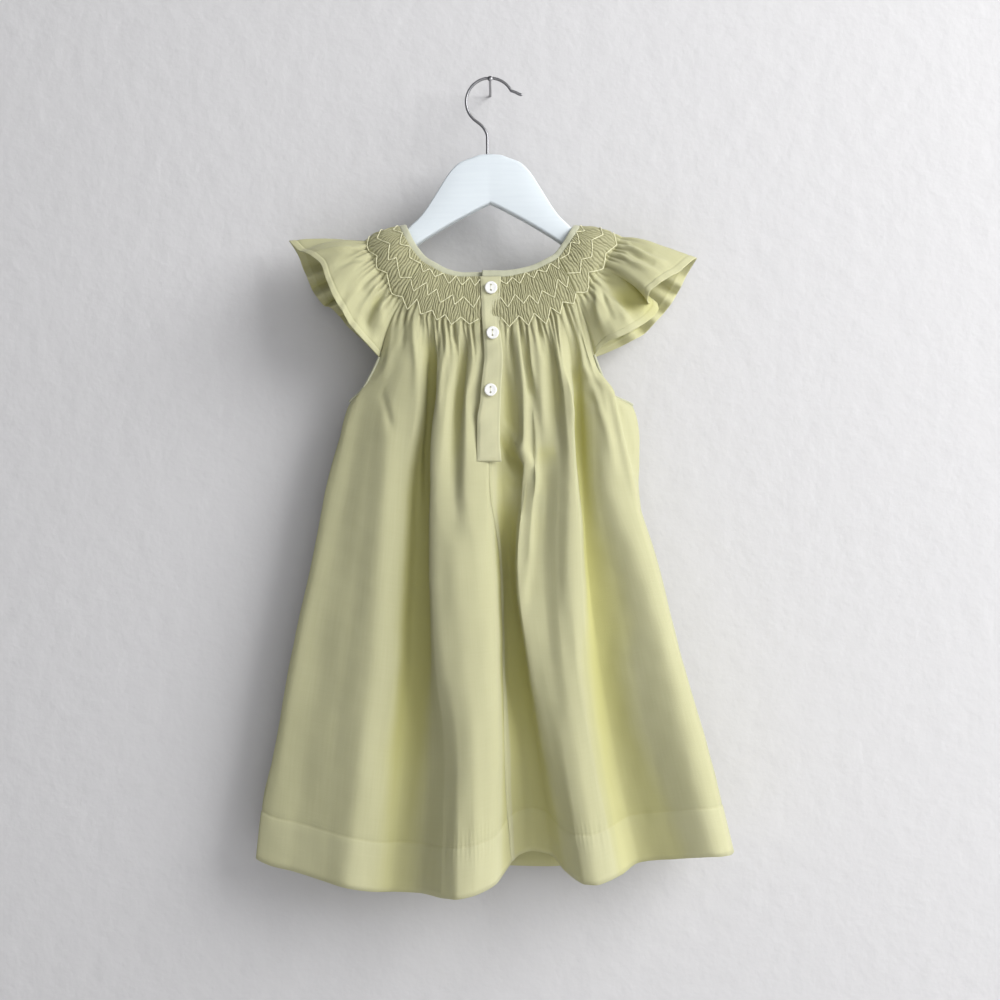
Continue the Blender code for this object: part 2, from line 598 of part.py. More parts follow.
def sweep(name, path, half_width, half_thick, sides, material):
    """An oval section along a path of (point, width direction, thickness direction)."""
    bm = bmesh.new()
    rings = []
    for point, wide, thick in path:
        ring = []
        for k in range(sides):
            turn = 2.0 * math.pi * (k + 0.5) / sides
            offset = wide * half_width * math.cos(turn) + thick * half_thick * math.sin(turn)
            ring.append(bm.verts.new((point + offset) * MM))
        rings.append(ring)
    for a, b in zip(rings, rings[1:]):
        for k in range(sides):
            n = (k + 1) % sides
            bm.faces.new((a[k], a[n], b[n], b[k]))
    bm.faces.new(rings[0])
    bm.faces.new(rings[-1])
    return make_object(name, bm, material)


def framed(points, across):
    """Adds two directions square to a path to each of its points; across is roughly the second."""
    path = []
    for k, point in enumerate(points):
        ahead = points[min(k + 1, len(points) - 1)] - points[max(k - 1, 0)]
        wide = ahead.cross(across[k]).normalized()
        path.append((point, wide, wide.cross(ahead).normalized()))
    return path


def build_neck_binding(material):
    """A bias strip round the neck seam, its right end lapped over its left end."""
    first, last = BINDING_LAP
    lift = Curve(*zip(*BINDING_LIFT))
    points, across = [], []
    for k in range(BINDING_STEPS + 1):
        station = first + (RING_STATIONS + last - first) * k / BINDING_STEPS
        neck = yoke_point(station, 0.0)
        up = (neck - yoke_point(station, 0.12)).normalized()
        along = yoke_point(station + 0.1, 0.0) - yoke_point(station - 0.1, 0.0)
        out = up.cross(along).normalized()
        if out.dot(Vector((0.0, neck.y, 0.0))) < 0.0 and abs(neck.y) > 1.0:
            out = -out
        points.append(neck + up * (BINDING_HALF_WIDTH + SEAM_GAP) + out * lift(station))
        across.append(out)
    return sweep("neck_binding", framed(points, across), BINDING_HALF_WIDTH, BINDING_HALF_THICK,
                 BINDING_SIDES, material)


def build_armhole_binding(name, edge, material):
    """A thin bound edge under the arm, from the sleeve's back end to its front end."""
    heights = [edge.cap_z + (edge.underarm_z - edge.cap_z) * k / 60 for k in range(61)]
    fine = [edge.point(z, -1.0) for z in heights] + [edge.point(z, 1.0) for z in reversed(heights[:-1])]
    run = [0.0]
    for a, b in zip(fine, fine[1:]):
        run.append(run[-1] + (b - a).length)
    lines = [Curve(run, [point[axis] for point in fine]) for axis in range(3)]
    outside = 1.0 if edge.top.x > 0.0 else -1.0
    points, across = [], []
    for k in range(1, ARMHOLE_STEPS):
        place = run[-1] * k / ARMHOLE_STEPS
        point = Vector(line(place) for line in lines)
        after = Vector(line(place + 1.0) for line in lines)
        ahead = (after - Vector(line(place - 1.0) for line in lines)).normalized()
        away = Vector((outside * 0.6, 0.0, 1.0))
        away = (away - ahead * away.dot(ahead)).normalized()
        points.append(point + away * (ARMHOLE_CORD + ARMHOLE_GAP))
        across.append(away)
    return sweep(name, framed(points, across), ARMHOLE_CORD, ARMHOLE_CORD, 6, material)


def panel_place(panel, x, z):
    """The (c, w) of a body panel near the centre back where its face is at x and z."""
    w = 0.5
    for _ in range(5):
        low, high = 0.0, 1.0
        for _ in range(16):
            c = (low + high) / 2.0
            low, high = (c, high) if panel.point(c, w).x < x else (low, c)
        low, high = 0.0, 1.6
        for _ in range(16):
            w = (low + high) / 2.0
            low, high = (w, high) if panel.point(c, w).z > z else (low, w)
    return c, w


def build_placket(left_panel, right_panel, material):
    """The strip over the centre-back slit, made from the panels' points moved out."""
    left = Curve([-z for z, _ in PLACKET_LEFT], [x for _, x in PLACKET_LEFT])
    right = Curve([-z for z, _ in PLACKET_RIGHT], [x for _, x in PLACKET_RIGHT])
    top, bottom = PLACKET_LEFT[0][0], PLACKET_LEFT[-1][0]
    faces = []
    for row in range(PLACKET_ROWS + 1):
        z = top + (bottom - top) * row / PLACKET_ROWS
        centre = left_panel.point(1.0, panel_place(left_panel, 0.0, z)[1])
        face = []
        for column in range(PLACKET_COLUMNS + 1):
            share = column / PLACKET_COLUMNS
            x = left(-z) + (right(-z) - left(-z)) * share
            panel = left_panel if x < centre.x else right_panel
            face.append((share, panel.point(*panel_place(panel, x, z))))
        faces.append(face)
    outer, inner = [], []
    for row, face in enumerate(faces):
        near = faces[max(row - 1, 0):row + 2]
        under = min(point.y for line in near for _, point in line) - PLACKET_GAP
        over = under - PLACKET_THICK
        inner.append([(share, Vector((point.x, under, point.z))) for share, point in face])
        outer.append([(share, Vector((point.x, over, point.z))) for share, point in face])
    return wall("placket", outer, inner, material), outer


def button_mesh(material):
    """A two-hole button lying in XZ, its face towards -Y and its back on the plane y = 0."""
    bm = bmesh.new()
    profile = ((0.0, 0.0), (3.6, 0.0), (BUTTON_RADIUS, 0.7), (BUTTON_RADIUS, 1.6), (4.4, BUTTON_THICK),
               (3.3, 1.9), (2.8, 1.5), (0.0, 1.5))
    verts = [bm.verts.new(Vector((radius, -depth, 0.0)) * MM) for radius, depth in profile]
    edges = [bm.edges.new(pair) for pair in zip(verts, verts[1:])]
    bmesh.ops.spin(bm, geom=verts + edges, axis=(0, 1, 0), cent=(0, 0, 0), steps=16,
                   angle=2.0 * math.pi, use_merge=True)
    bmesh.ops.remove_doubles(bm, verts=bm.verts, dist=0.00001)
    button = make_object("button_blank", bm, material)
    bm = bmesh.new()
    for side in (-1.0, 1.0):
        hole = bmesh.ops.create_cone(bm, cap_ends=True, segments=8, radius1=BUTTON_HOLE * MM,
                                     radius2=BUTTON_HOLE * MM, depth=10.0 * MM)
        bmesh.ops.rotate(bm, verts=hole["verts"], cent=(0, 0, 0),
                         matrix=Matrix.Rotation(math.radians(90.0), 3, "X"))
        bmesh.ops.translate(bm, verts=hole["verts"], vec=(0, 0, side * BUTTON_HOLE_OFFSET * MM))
    drill = make_object("button_drill", bm, material)
    cut = button.modifiers.new("holes", "BOOLEAN")
    cut.object = drill
    cut.operation = "DIFFERENCE"
    bpy.context.view_layer.update()
    mesh = bpy.data.meshes.new_from_object(button.evaluated_get(bpy.context.evaluated_depsgraph_get()))
    for blank in (button, drill):
        bpy.data.objects.remove(blank)
    return mesh


def build_buttons(placket_face, material):
    """Three buttons on the placket, from the neck down."""
    mesh = button_mesh(material)
    for number, (x, z) in enumerate(BUTTONS, 1):
        rows = sorted(placket_face, key=lambda row: abs(row[0][1].z - z))[:4]
        face = min(point.y for row in rows for _, point in row)
        button = bpy.data.objects.new(f"button_{number}", mesh)
        button.location = Vector((x, face - SEAM_GAP, z)) * MM
        bpy.context.scene.collection.objects.link(button)


def build_hanger_body(material):
    """The painted wooden hanger, lofted from section to section along its arms."""
    rows = [row._replace(x=-row.x) for row in reversed(HANGER_ARM[1:])] + list(HANGER_ARM)
    bm = bmesh.new()
    rings = []
    for row in rows:
        middle = (row.top + row.bottom) / 2.0
        half = (row.top - row.bottom) / 2.0
        round_edge = min(row.half_thick * 0.8, half)
        ring = []
        for corner, (side, up) in enumerate(((1, 1), (-1, 1), (-1, -1), (1, -1))):
            for k in range(HANGER_SECTION_POINTS // 4):
                turn = math.pi / 2.0 * (corner + k / (HANGER_SECTION_POINTS // 4 - 1))
                y = side * (row.half_thick - round_edge) + round_edge * math.cos(turn)
                z = middle + up * (half - round_edge) + round_edge * math.sin(turn)
                ring.append(bm.verts.new(Vector((row.x, y, z)) * MM))
        rings.append(ring)
    count = len(rings[0])
    for a, b in zip(rings, rings[1:]):
        for k in range(count):
            n = (k + 1) % count
            bm.faces.new((a[k], a[n], b[n], b[k]))
    bm.faces.new(rings[0])
    bm.faces.new(rings[-1])
    return make_object("hanger_body", bm, material)


def build_hanger_hook(material):
    """The wire hook: a shank, a short curve, the round bend and a tip that turns away."""
    centre = Vector((0.0, 0.0, HOOK_WIRE - HOOK_BEND))
    bend = []
    for k in range(31):
        turn = math.radians(HOOK_BEND_START + (HOOK_BEND_END - HOOK_BEND_START) * k / 30)
        bend.append(centre + HOOK_BEND * Vector((math.cos(turn), 0.0, math.sin(turn))))
    shank = [Vector((HOOK_SHANK_X, 0.0, HOOK_FOOT_Z)), Vector((HOOK_SHANK_X, 0.0, HOOK_SHANK_TOP_Z))]
    leave = (bend[1] - bend[0]).normalized()
    reach = (shank[1] - bend[0]).length
    curve = []
    for k in range(1, 8):
        u = k / 8
        a = shank[1] + Vector((0.0, 0.0, 0.5 * reach)) * u
        b = bend[0] - leave * 0.5 * reach * (1.0 - u)
        curve.append(a.lerp(b, smooth(u)))
    tip = [Vector((x, 0.0, z)) for x, z in HOOK_TIP]
    points = shank + curve + bend + tip
    return sweep("hanger_hook", framed(points, [Vector((0.0, 1.0, 0.0))] * len(points)),
                 HOOK_WIRE, HOOK_WIRE, 8, material)


def make_materials():
    made = {}
    for name, (colour, roughness, metallic) in MATERIALS.items():
        material = bpy.data.materials.new(name)
        material.use_nodes = True
        shader = material.node_tree.nodes["Principled BSDF"]
        shader.inputs["Base Color"].default_value = colour
        shader.inputs["Roughness"].default_value = roughness
        shader.inputs["Metallic"].default_value = metallic
        made[name] = material
    return made


def main():
    for obj in list(bpy.data.objects):
        bpy.data.objects.remove(obj)
    made = make_materials()
    front_right, front_left = 2 * SHOULDER - RAGLAN, 2 * SHOULDER + RAGLAN
    left_edge = EdgeLine(RING_STATIONS - RAGLAN, LEFT_EDGE)
    right_edge = EdgeLine(RAGLAN, RIGHT_EDGE)
    rows = shared_rows(left_edge, right_edge)
    back_left = BodyPanel("back", RING_STATIONS - RAGLAN, RING_STATIONS, BACK_LEFT_FOLDS, rows,
                          left_edge=left_edge)
    back_right = BodyPanel("back", 0, RAGLAN, BACK_RIGHT_FOLDS, rows, right_edge=right_edge)
    front = BodyPanel("front", front_left, front_right, FRONT_FOLDS, rows, left_edge, right_edge)
    sleeve_left = Sleeve(RING_STATIONS - RAGLAN, front_left, LEFT_SLEEVE_HEM, left_edge)
    sleeve_right = Sleeve(RAGLAN, front_right, RIGHT_SLEEVE_HEM, right_edge)
    join(back_left, 1.0, back_right, 0.0, math.inf, -math.inf)
    join(back_left, 0.0, sleeve_left, 0.0, math.inf, left_edge.cap_z)
    join(front, 0.0, sleeve_left, 1.0, math.inf, left_edge.cap_z)
    join(back_right, 1.0, sleeve_right, 0.0, math.inf, right_edge.cap_z)
    join(front, 1.0, sleeve_right, 1.0, math.inf, right_edge.cap_z)
    join(back_left, 0.0, front, 0.0, left_edge.underarm_z, -math.inf)
    join(back_right, 1.0, front, 1.0, right_edge.underarm_z, -math.inf)
    back_left.build("back_left", made["cloth"])
    back_right.build("back_right", made["cloth"])
    front.build("front", made["cloth"])
    sleeve_left.build("sleeve_left", made["cloth"])
    sleeve_right.build("sleeve_right", made["cloth"])
    build_neck_binding(made["cloth"])
    build_armhole_binding("armhole_binding_left", left_edge, made["cloth"])
    build_armhole_binding("armhole_binding_right", right_edge, made["cloth"])
    placket_face = build_placket(back_left, back_right, made["cloth"])[1]
    build_buttons(placket_face, made["button"])
    build_hanger_body(made["paint"])
    build_hanger_hook(made["steel"])


main()
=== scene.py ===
"""A toddler's smocked bishop dress on a child's coat hanger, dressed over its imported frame.

The tables are in millimetres and the meshes are made in metres. +Z is up, +X is to the right of
someone who looks at the buttons, and the buttoned back faces -Y. The origin is the inside of the
hook's bend.
"""
import logging
import math
from dataclasses import dataclass
from enum import Enum
from typing import NamedTuple, Sequence

import bmesh
import bpy
import numpy as np
from mathutils import Matrix, Vector


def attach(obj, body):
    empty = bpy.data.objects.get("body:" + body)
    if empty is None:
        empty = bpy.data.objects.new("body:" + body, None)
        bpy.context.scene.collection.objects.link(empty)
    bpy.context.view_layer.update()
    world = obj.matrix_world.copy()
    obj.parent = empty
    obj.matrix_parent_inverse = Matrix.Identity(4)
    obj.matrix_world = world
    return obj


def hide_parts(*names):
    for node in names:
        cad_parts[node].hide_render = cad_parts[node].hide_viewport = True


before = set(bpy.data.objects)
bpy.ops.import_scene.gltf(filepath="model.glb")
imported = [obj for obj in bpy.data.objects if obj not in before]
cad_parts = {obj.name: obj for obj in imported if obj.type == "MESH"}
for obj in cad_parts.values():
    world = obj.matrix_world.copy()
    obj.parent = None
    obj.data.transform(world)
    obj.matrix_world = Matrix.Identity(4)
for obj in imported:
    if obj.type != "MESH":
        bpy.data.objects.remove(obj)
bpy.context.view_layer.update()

MM = 0.001
WELD = 1e-6
LOG = logging.getLogger("dress")

Array = np.ndarray
Colour = tuple[float, float, float, float]


class Slot(Enum):
    """The frame's finish slots."""

    CLOTH = "cloth"
    BINDING = "binding"
    BUTTON = "button"
    PAINT = "hanger_paint"
    STEEL = "steel"


class Side(Enum):
    """The buttoned back of the dress or its front, by the sign of y."""

    BACK = -1.0
    FRONT = 1.0


# ---------------------------------------------------------------- curves and helpers
class Curve:
    """A smooth curve through a table of values, which never overshoots them."""

    def __init__(self, at: Sequence[float], values: Sequence[float], flat_start: float = 0.0,
                 flat_end: float = 0.0) -> None:
        """Works out the slope at each row of the table.

        Args:
            at: The rising places of the rows.
            values: The value at each row.
            flat_start: How far the slope at the first row is levelled, from 0 to 1.
            flat_end: The same for the last row.
        """
        self.at = np.asarray(at, float)
        self.values = np.asarray(values, float)
        steps = np.diff(self.at)
        rises = np.diff(self.values) / steps
        slopes = np.zeros(len(self.at))
        before = 2.0 * steps[1:] + steps[:-1]
        after = steps[1:] + 2.0 * steps[:-1]
        same = rises[:-1] * rises[1:] > 0.0
        inner = np.zeros(len(steps) - 1)
        inner[same] = (before + after)[same] / (before[same] / rises[:-1][same]
                                                + after[same] / rises[1:][same])
        slopes[1:-1] = inner
        slopes[0] = rises[0] * (1.0 - flat_start)
        slopes[-1] = rises[-1] * (1.0 - flat_end)
        self.slopes = slopes

    def __call__(self, where: Array | float) -> Array:
        """Reads the curve.

        Args:
            where: One place or an array of places.

        Returns:
            The value at each place.
        """
        where = np.clip(where, self.at[0], self.at[-1])
        k = np.clip(np.searchsorted(self.at, where, side="right") - 1, 0, len(self.at) - 2)
        step = self.at[k + 1] - self.at[k]
        u = (where - self.at[k]) / step
        return ((2 * u ** 3 - 3 * u ** 2 + 1) * self.values[k]
                + (u ** 3 - 2 * u ** 2 + u) * step * self.slopes[k]
                + (-2 * u ** 3 + 3 * u ** 2) * self.values[k + 1]
                + (u ** 3 - u ** 2) * step * self.slopes[k + 1])


def smooth(u: Array | float) -> Array:
    """0 below 0, 1 above 1, with a soft step between."""
    u = np.clip(u, 0.0, 1.0)
    return u * u * (3.0 - 2.0 * u)


def unit(vectors: Array) -> Array:
    """The vectors at length 1."""
    length = np.linalg.norm(vectors, axis=-1, keepdims=True)
    return vectors / np.maximum(length, 1e-9)


def between(a: Array, b: Array, share: Array | float) -> Array:
    """The point a share of the way from a to b."""
    return a + (b - a) * share


def run_along(points: Array) -> Array:
    """How far along a path each of its points lies."""
    return np.concatenate([[0.0], np.cumsum(np.linalg.norm(np.diff(points, axis=0), axis=1))])


def evenly(points: Array, count: int) -> tuple[Array, Array]:
    """Spaces a path evenly.

    Args:
        points: The points of the path.
        count: How many points to make.

    Returns:
        The evenly spaced points, and how far along each one lies.
    """
    run = run_along(points)
    even = np.linspace(0.0, run[-1], count)
    return np.stack([np.interp(even, run, points[:, axis]) for axis in range(3)], axis=-1), even


# ---------------------------------------------------------------- the yoke's tables
class Station(NamedTuple):
    """One place round the yoke, on both sides and on front and back."""

    neck_right: tuple[float, float]
    neck_left: tuple[float, float]
    neck_proud: float
    yoke_right: tuple[float, float]
    yoke_left: tuple[float, float]
    yoke_proud: float
    front_drop: float


STATIONS = (
    Station((0.0, -167.0), (0.0, -167.0), 20.0, (0.0, -208.0), (0.0, -208.0), 27.0, 12.0),
    Station((12.5, -167.0), (-12.0, -167.0), 20.0, (16.5, -208.0), (-16.0, -208.0), 27.0, 12.0),
    Station((24.5, -165.0), (-24.5, -167.0), 20.0, (32.5, -206.5), (-32.0, -206.0), 27.0, 11.0),
    Station((37.0, -161.5), (-36.5, -164.5), 19.0, (49.0, -203.0), (-48.5, -202.0), 26.0, 8.0),
    Station((48.0, -156.0), (-47.0, -159.0), 18.0, (61.0, -195.5), (-61.0, -194.0), 24.5, 4.0),
    Station((56.0, -151.0), (-55.5, -153.5), 16.0, (72.0, -187.0), (-73.0, -189.0), 22.0, 0.0),
    Station((63.0, -141.5), (-64.0, -143.0), 13.5, (82.0, -174.0), (-83.0, -176.0), 18.5, 0.0),
    Station((69.5, -131.5), (-70.5, -131.5), 10.5, (95.0, -155.0), (-94.0, -156.5), 13.5, 0.0),
    Station((74.5, -122.8), (-74.5, -122.8), 0.0, (109.0, -131.5), (-104.0, -134.5), 0.0, 0.0),
)
SHOULDER = len(STATIONS) - 1
RAGLAN = 5
RING_STATIONS = 4 * SHOULDER
YOKE_PUFF = 2.5


class Edge(NamedTuple):
    """A point of the body panels' outer edge."""

    z: float
    x: float
    proud: float


LEFT_EDGE = (
    Edge(-210.0, -83.5, 19.0), Edge(-232.0, -90.5, 15.0), Edge(-247.0, -98.0, 12.0),
    Edge(-259.0, -106.0, 7.0), Edge(-268.5, -117.0, 0.0), Edge(-299.0, -126.0, 0.0),
    Edge(-333.0, -135.5, 0.0), Edge(-399.0, -148.5, 0.0), Edge(-474.0, -165.0, 0.0),
    Edge(-557.0, -180.0, 0.0), Edge(-598.0, -189.0, 0.0), Edge(-645.0, -195.0, 0.0),
)
RIGHT_EDGE = (
    Edge(-208.0, 79.5, 19.0), Edge(-230.0, 85.5, 15.0), Edge(-248.0, 92.5, 12.0),
    Edge(-261.0, 99.0, 7.5), Edge(-271.5, 119.5, 0.0), Edge(-300.0, 124.5, 0.0),
    Edge(-341.0, 123.5, 0.0), Edge(-399.0, 138.5, 0.0), Edge(-474.0, 157.0, 0.0),
    Edge(-557.0, 180.0, 0.0), Edge(-598.0, 191.0, 0.0), Edge(-639.0, 201.5, 0.0),
)
SLEEVE_END = 1
UNDERARM = 4

# ---------------------------------------------------------------- the folds' tables
FOLD_HEIGHTS = (-235.0, -269.0, -333.0, -398.0, -471.0, -551.0)


class Fold(NamedTuple):
    """One fold line from the yoke to the hem: x and proudness at each height, and the hem's z."""

    start: float
    cap: tuple[float, float]
    underarm: tuple[float, float]
    chest: tuple[float, float]
    waist: tuple[float, float]
    hip: tuple[float, float]
    knee: tuple[float, float]
    hem: tuple[float, float, float]


CENTRE_BACK = ((0, 28), (-1, 28), (0, 27), (9, 13), (11, 12), (12, 22), (18, 12, -646))
BACK_LEFT_FOLDS = (
    Fold(0.04, (-88, 16), (-112, 6), (-128, 5), (-142, 5.5), (-158, 6), (-172, 6), (-184, 5.5, -650)),
    Fold(0.10, (-82, 20), (-104, 8.5), (-118, 6.5), (-130, 7.5), (-142, 8.5), (-153, 9.5),
         (-162, 10.5, -654)),
    Fold(0.16, (-76, 22), (-92, 13), (-102, 13.5), (-109, 15), (-119, 16.5), (-128, 18.5),
         (-137, 20, -659)),
    Fold(0.22, (-66, 24), (-78, 18.5), (-84, 20.5), (-88, 22.5), (-94, 25), (-102, 27.5), (-114, 29, -663)),
    Fold(0.27, (-58, 24), (-60.5, 20), (-69, 17), (-73, 18), (-77, 20.5), (-85, 23), (-95, 24, -667)),
    Fold(0.32, (-50, 19), (-52, 13), (-59, 7), (-61, 5), (-64, 7), (-69, 11), (-80, 17, -669)),
    Fold(0.37, (-47, 18), (-48.5, 9), (-52, 6), (-50.5, 9), (-49, 14), (-52, 20), (-58, 24, -668)),
    Fold(0.42, (-43, 27), (-46, 24), (-48.5, 28), (-47.5, 32), (-44.5, 37), (-36, 38), (-38, 50, -664.5)),
    Fold(0.54, (-33, 27), (-36, 28), (-41, 31), (-37, 37), (-33, 43), (-24, 47), (-24, 60, -662.5)),
    Fold(0.66, (-24, 22), (-25.5, 22), (-29, 29), (-26, 39), (-21, 45), (-14, 49), (-13, 58, -660.5)),
    Fold(0.78, (-14, 28), (-19, 29), (-19, 34), (-13, 38), (-8, 43), (-4, 46), (-4, 53, -658)),
    Fold(0.90, (-7, 26), (-9, 25), (-3, 30), (1, 32), (5, 36), (6, 39), (4, 46, -655)),
    Fold(1.00, *CENTRE_BACK),
)
BACK_RIGHT_FOLDS = (
    Fold(0.00, *CENTRE_BACK),
    Fold(0.09, (8, 26), (9, 24), (10.5, 18.5), (13, 7), (15, 5), (20, 12), (24, 2, -643)),
    Fold(0.16, (13, 24), (15.5, 19), (17, 18.5), (16, 5), (22, 3), (30, 7), (36, -3, -641)),
    Fold(0.22, (18, 24), (21, 21.5), (22.5, 20), (20, 11), (28, 8), (38, 10), (50, 2, -643)),
    Fold(0.28, (25, 29.5), (27.5, 29), (27, 30), (22.5, 29), (30, 32), (43, 29), (61, 29, -649)),
    Fold(0.36, (31, 26), (35, 25.5), (36, 25), (32, 26), (39, 34), (52, 38), (70, 45, -652)),
    Fold(0.44, (40, 28.5), (42, 28.5), (45, 24.5), (42, 26), (48, 35), (60, 43), (76, 52, -653)),
    Fold(0.54, (49, 24), (53, 22.5), (56, 29.5), (54, 31), (59, 39), (69, 44.5), (84, 54, -653)),
    Fold(0.64, (56, 29.5), (61, 31), (65, 34), (64, 35), (68, 39), (79, 42), (94, 51, -651)),
    Fold(0.72, (58.5, 29), (66.5, 31), (71.5, 32), (74, 32), (77, 34), (88, 37), (106, 43, -647.5)),
    Fold(0.77, (67, 16), (70, 14), (75, 13.5), (79.5, 15), (88, 27), (101, 28), (121, 25.5, -643)),
    Fold(0.86, (76, 21), (84, 22), (86, 20.5), (97, 20.5), (111, 33.5), (127, 37.5), (148, 36.5, -637)),
    Fold(0.93, (81, 21), (93, 24), (98, 25), (119, 28), (139, 43.5), (158, 50.5), (178, 53, -631)),
    Fold(0.975, (84, 18), (106, 17), (114, 20), (131, 24), (151, 37.5), (172, 44.5), (190, 49, -631)),
)
FRONT_FOLDS = (
    Fold(0.04, (-84, 18), (-108, 11), (-121, 10), (-133, 10), (-148, 11), (-163, 12), (-176, 12, -650)),
    Fold(0.14, (-68, 17), (-84, 15), (-98, 13), (-108, 13), (-118, 14), (-128, 15), (-138, 15, -654)),
    Fold(0.26, (-50, 25), (-62, 26), (-70, 27), (-78, 28), (-88, 29), (-98, 30), (-108, 31, -657)),
    Fold(0.38, (-29, 20), (-38, 18), (-46, 15), (-52, 14), (-58, 14), (-64, 15), (-68, 16, -655)),
    Fold(0.50, (0, 27), (-4, 28), (-8, 29), (-12, 30), (-14, 31), (-16, 32), (-18, 32, -660)),
    Fold(0.62, (28, 20), (34, 18), (36, 15), (40, 14), (44, 14), (48, 15), (52, 15, -657)),
    Fold(0.75, (50, 25), (63, 26), (70, 27), (82, 28), (94, 29), (106, 30), (118, 31, -656)),
    Fold(0.87, (66, 18), (84, 15), (94, 14), (110, 14), (125, 15), (142, 15), (158, 14, -649)),
    Fold(0.96, (78, 18), (108, 11), (112, 10), (127, 10), (145, 10), (167, 11), (186, 10, -643)),
)


# ---------------------------------------------------------------- the sleeves' tables
class Ruffle(NamedTuple):
    """A point of a cap sleeve's hem, and its share of the way round."""

    share: float
    x: float
    y: float
    z: float


LEFT_SLEEVE_HEM = (
    Ruffle(0.10, -104.5, -27.0, -217.0), Ruffle(0.18, -112.5, -31.0, -208.0),
    Ruffle(0.26, -118.5, -36.0, -197.0), Ruffle(0.34, -125.5, -36.0, -185.5),
    Ruffle(0.41, -132.5, -30.0, -170.0), Ruffle(0.45, -138.0, -21.0, -156.5),
    Ruffle(0.49, -152.5, -9.0, -145.5), Ruffle(0.515, -158.0, -2.0, -143.0),
    Ruffle(0.545, -167.5, 5.0, -133.5), Ruffle(0.58, -162.0, 15.0, -142.0),
    Ruffle(0.62, -158.5, 21.0, -153.0), Ruffle(0.66, -154.0, 15.0, -162.0),
    Ruffle(0.70, -152.0, 26.5, -169.0), Ruffle(0.74, -146.0, 15.0, -178.0),
    Ruffle(0.78, -141.0, 26.5, -184.0), Ruffle(0.82, -134.0, 14.0, -187.5),
    Ruffle(0.86, -128.0, 26.5, -193.0), Ruffle(0.90, -121.0, 17.0, -202.0),
    Ruffle(0.94, -113.0, 21.0, -209.0),
)
RIGHT_SLEEVE_HEM = (
    Ruffle(0.06, 96.5, -23.0, -220.0), Ruffle(0.09, 105.0, -27.0, -217.0),
    Ruffle(0.13, 116.0, -26.0, -211.5), Ruffle(0.165, 127.0, -21.0, -204.5),
    Ruffle(0.185, 132.5, -17.0, -200.0), Ruffle(0.205, 138.5, -11.0, -192.0),
    Ruffle(0.23, 137.0, -8.0, -186.5), Ruffle(0.255, 129.5, -17.0, -188.5),
    Ruffle(0.275, 127.0, -27.0, -187.5), Ruffle(0.30, 129.0, -32.0, -181.5),
    Ruffle(0.34, 135.5, -31.0, -175.5), Ruffle(0.39, 144.0, -26.0, -169.5),
    Ruffle(0.45, 156.0, -17.0, -161.5), Ruffle(0.505, 167.5, -6.0, -151.0),
    Ruffle(0.545, 172.5, 4.0, -147.5), Ruffle(0.58, 169.0, 14.0, -154.0),
    Ruffle(0.61, 165.0, 19.0, -161.0), Ruffle(0.645, 161.0, 14.5, -169.0),
    Ruffle(0.68, 158.0, 22.5, -175.0), Ruffle(0.72, 153.0, 16.5, -183.0),
    Ruffle(0.76, 146.5, 23.0, -191.5), Ruffle(0.80, 139.5, 16.0, -199.0),
    Ruffle(0.84, 131.0, 23.5, -208.0), Ruffle(0.88, 122.0, 17.0, -213.5),
    Ruffle(0.93, 109.0, 20.0, -220.0),
)


# ---------------------------------------------------------------- creases, listed one by one
class Crease(NamedTuple):
    """A soft ridge (rise above 0) or furrow (below 0) along a line of (x, z) points."""

    rise: float
    half_width: float
    points: tuple[tuple[float, float], ...]


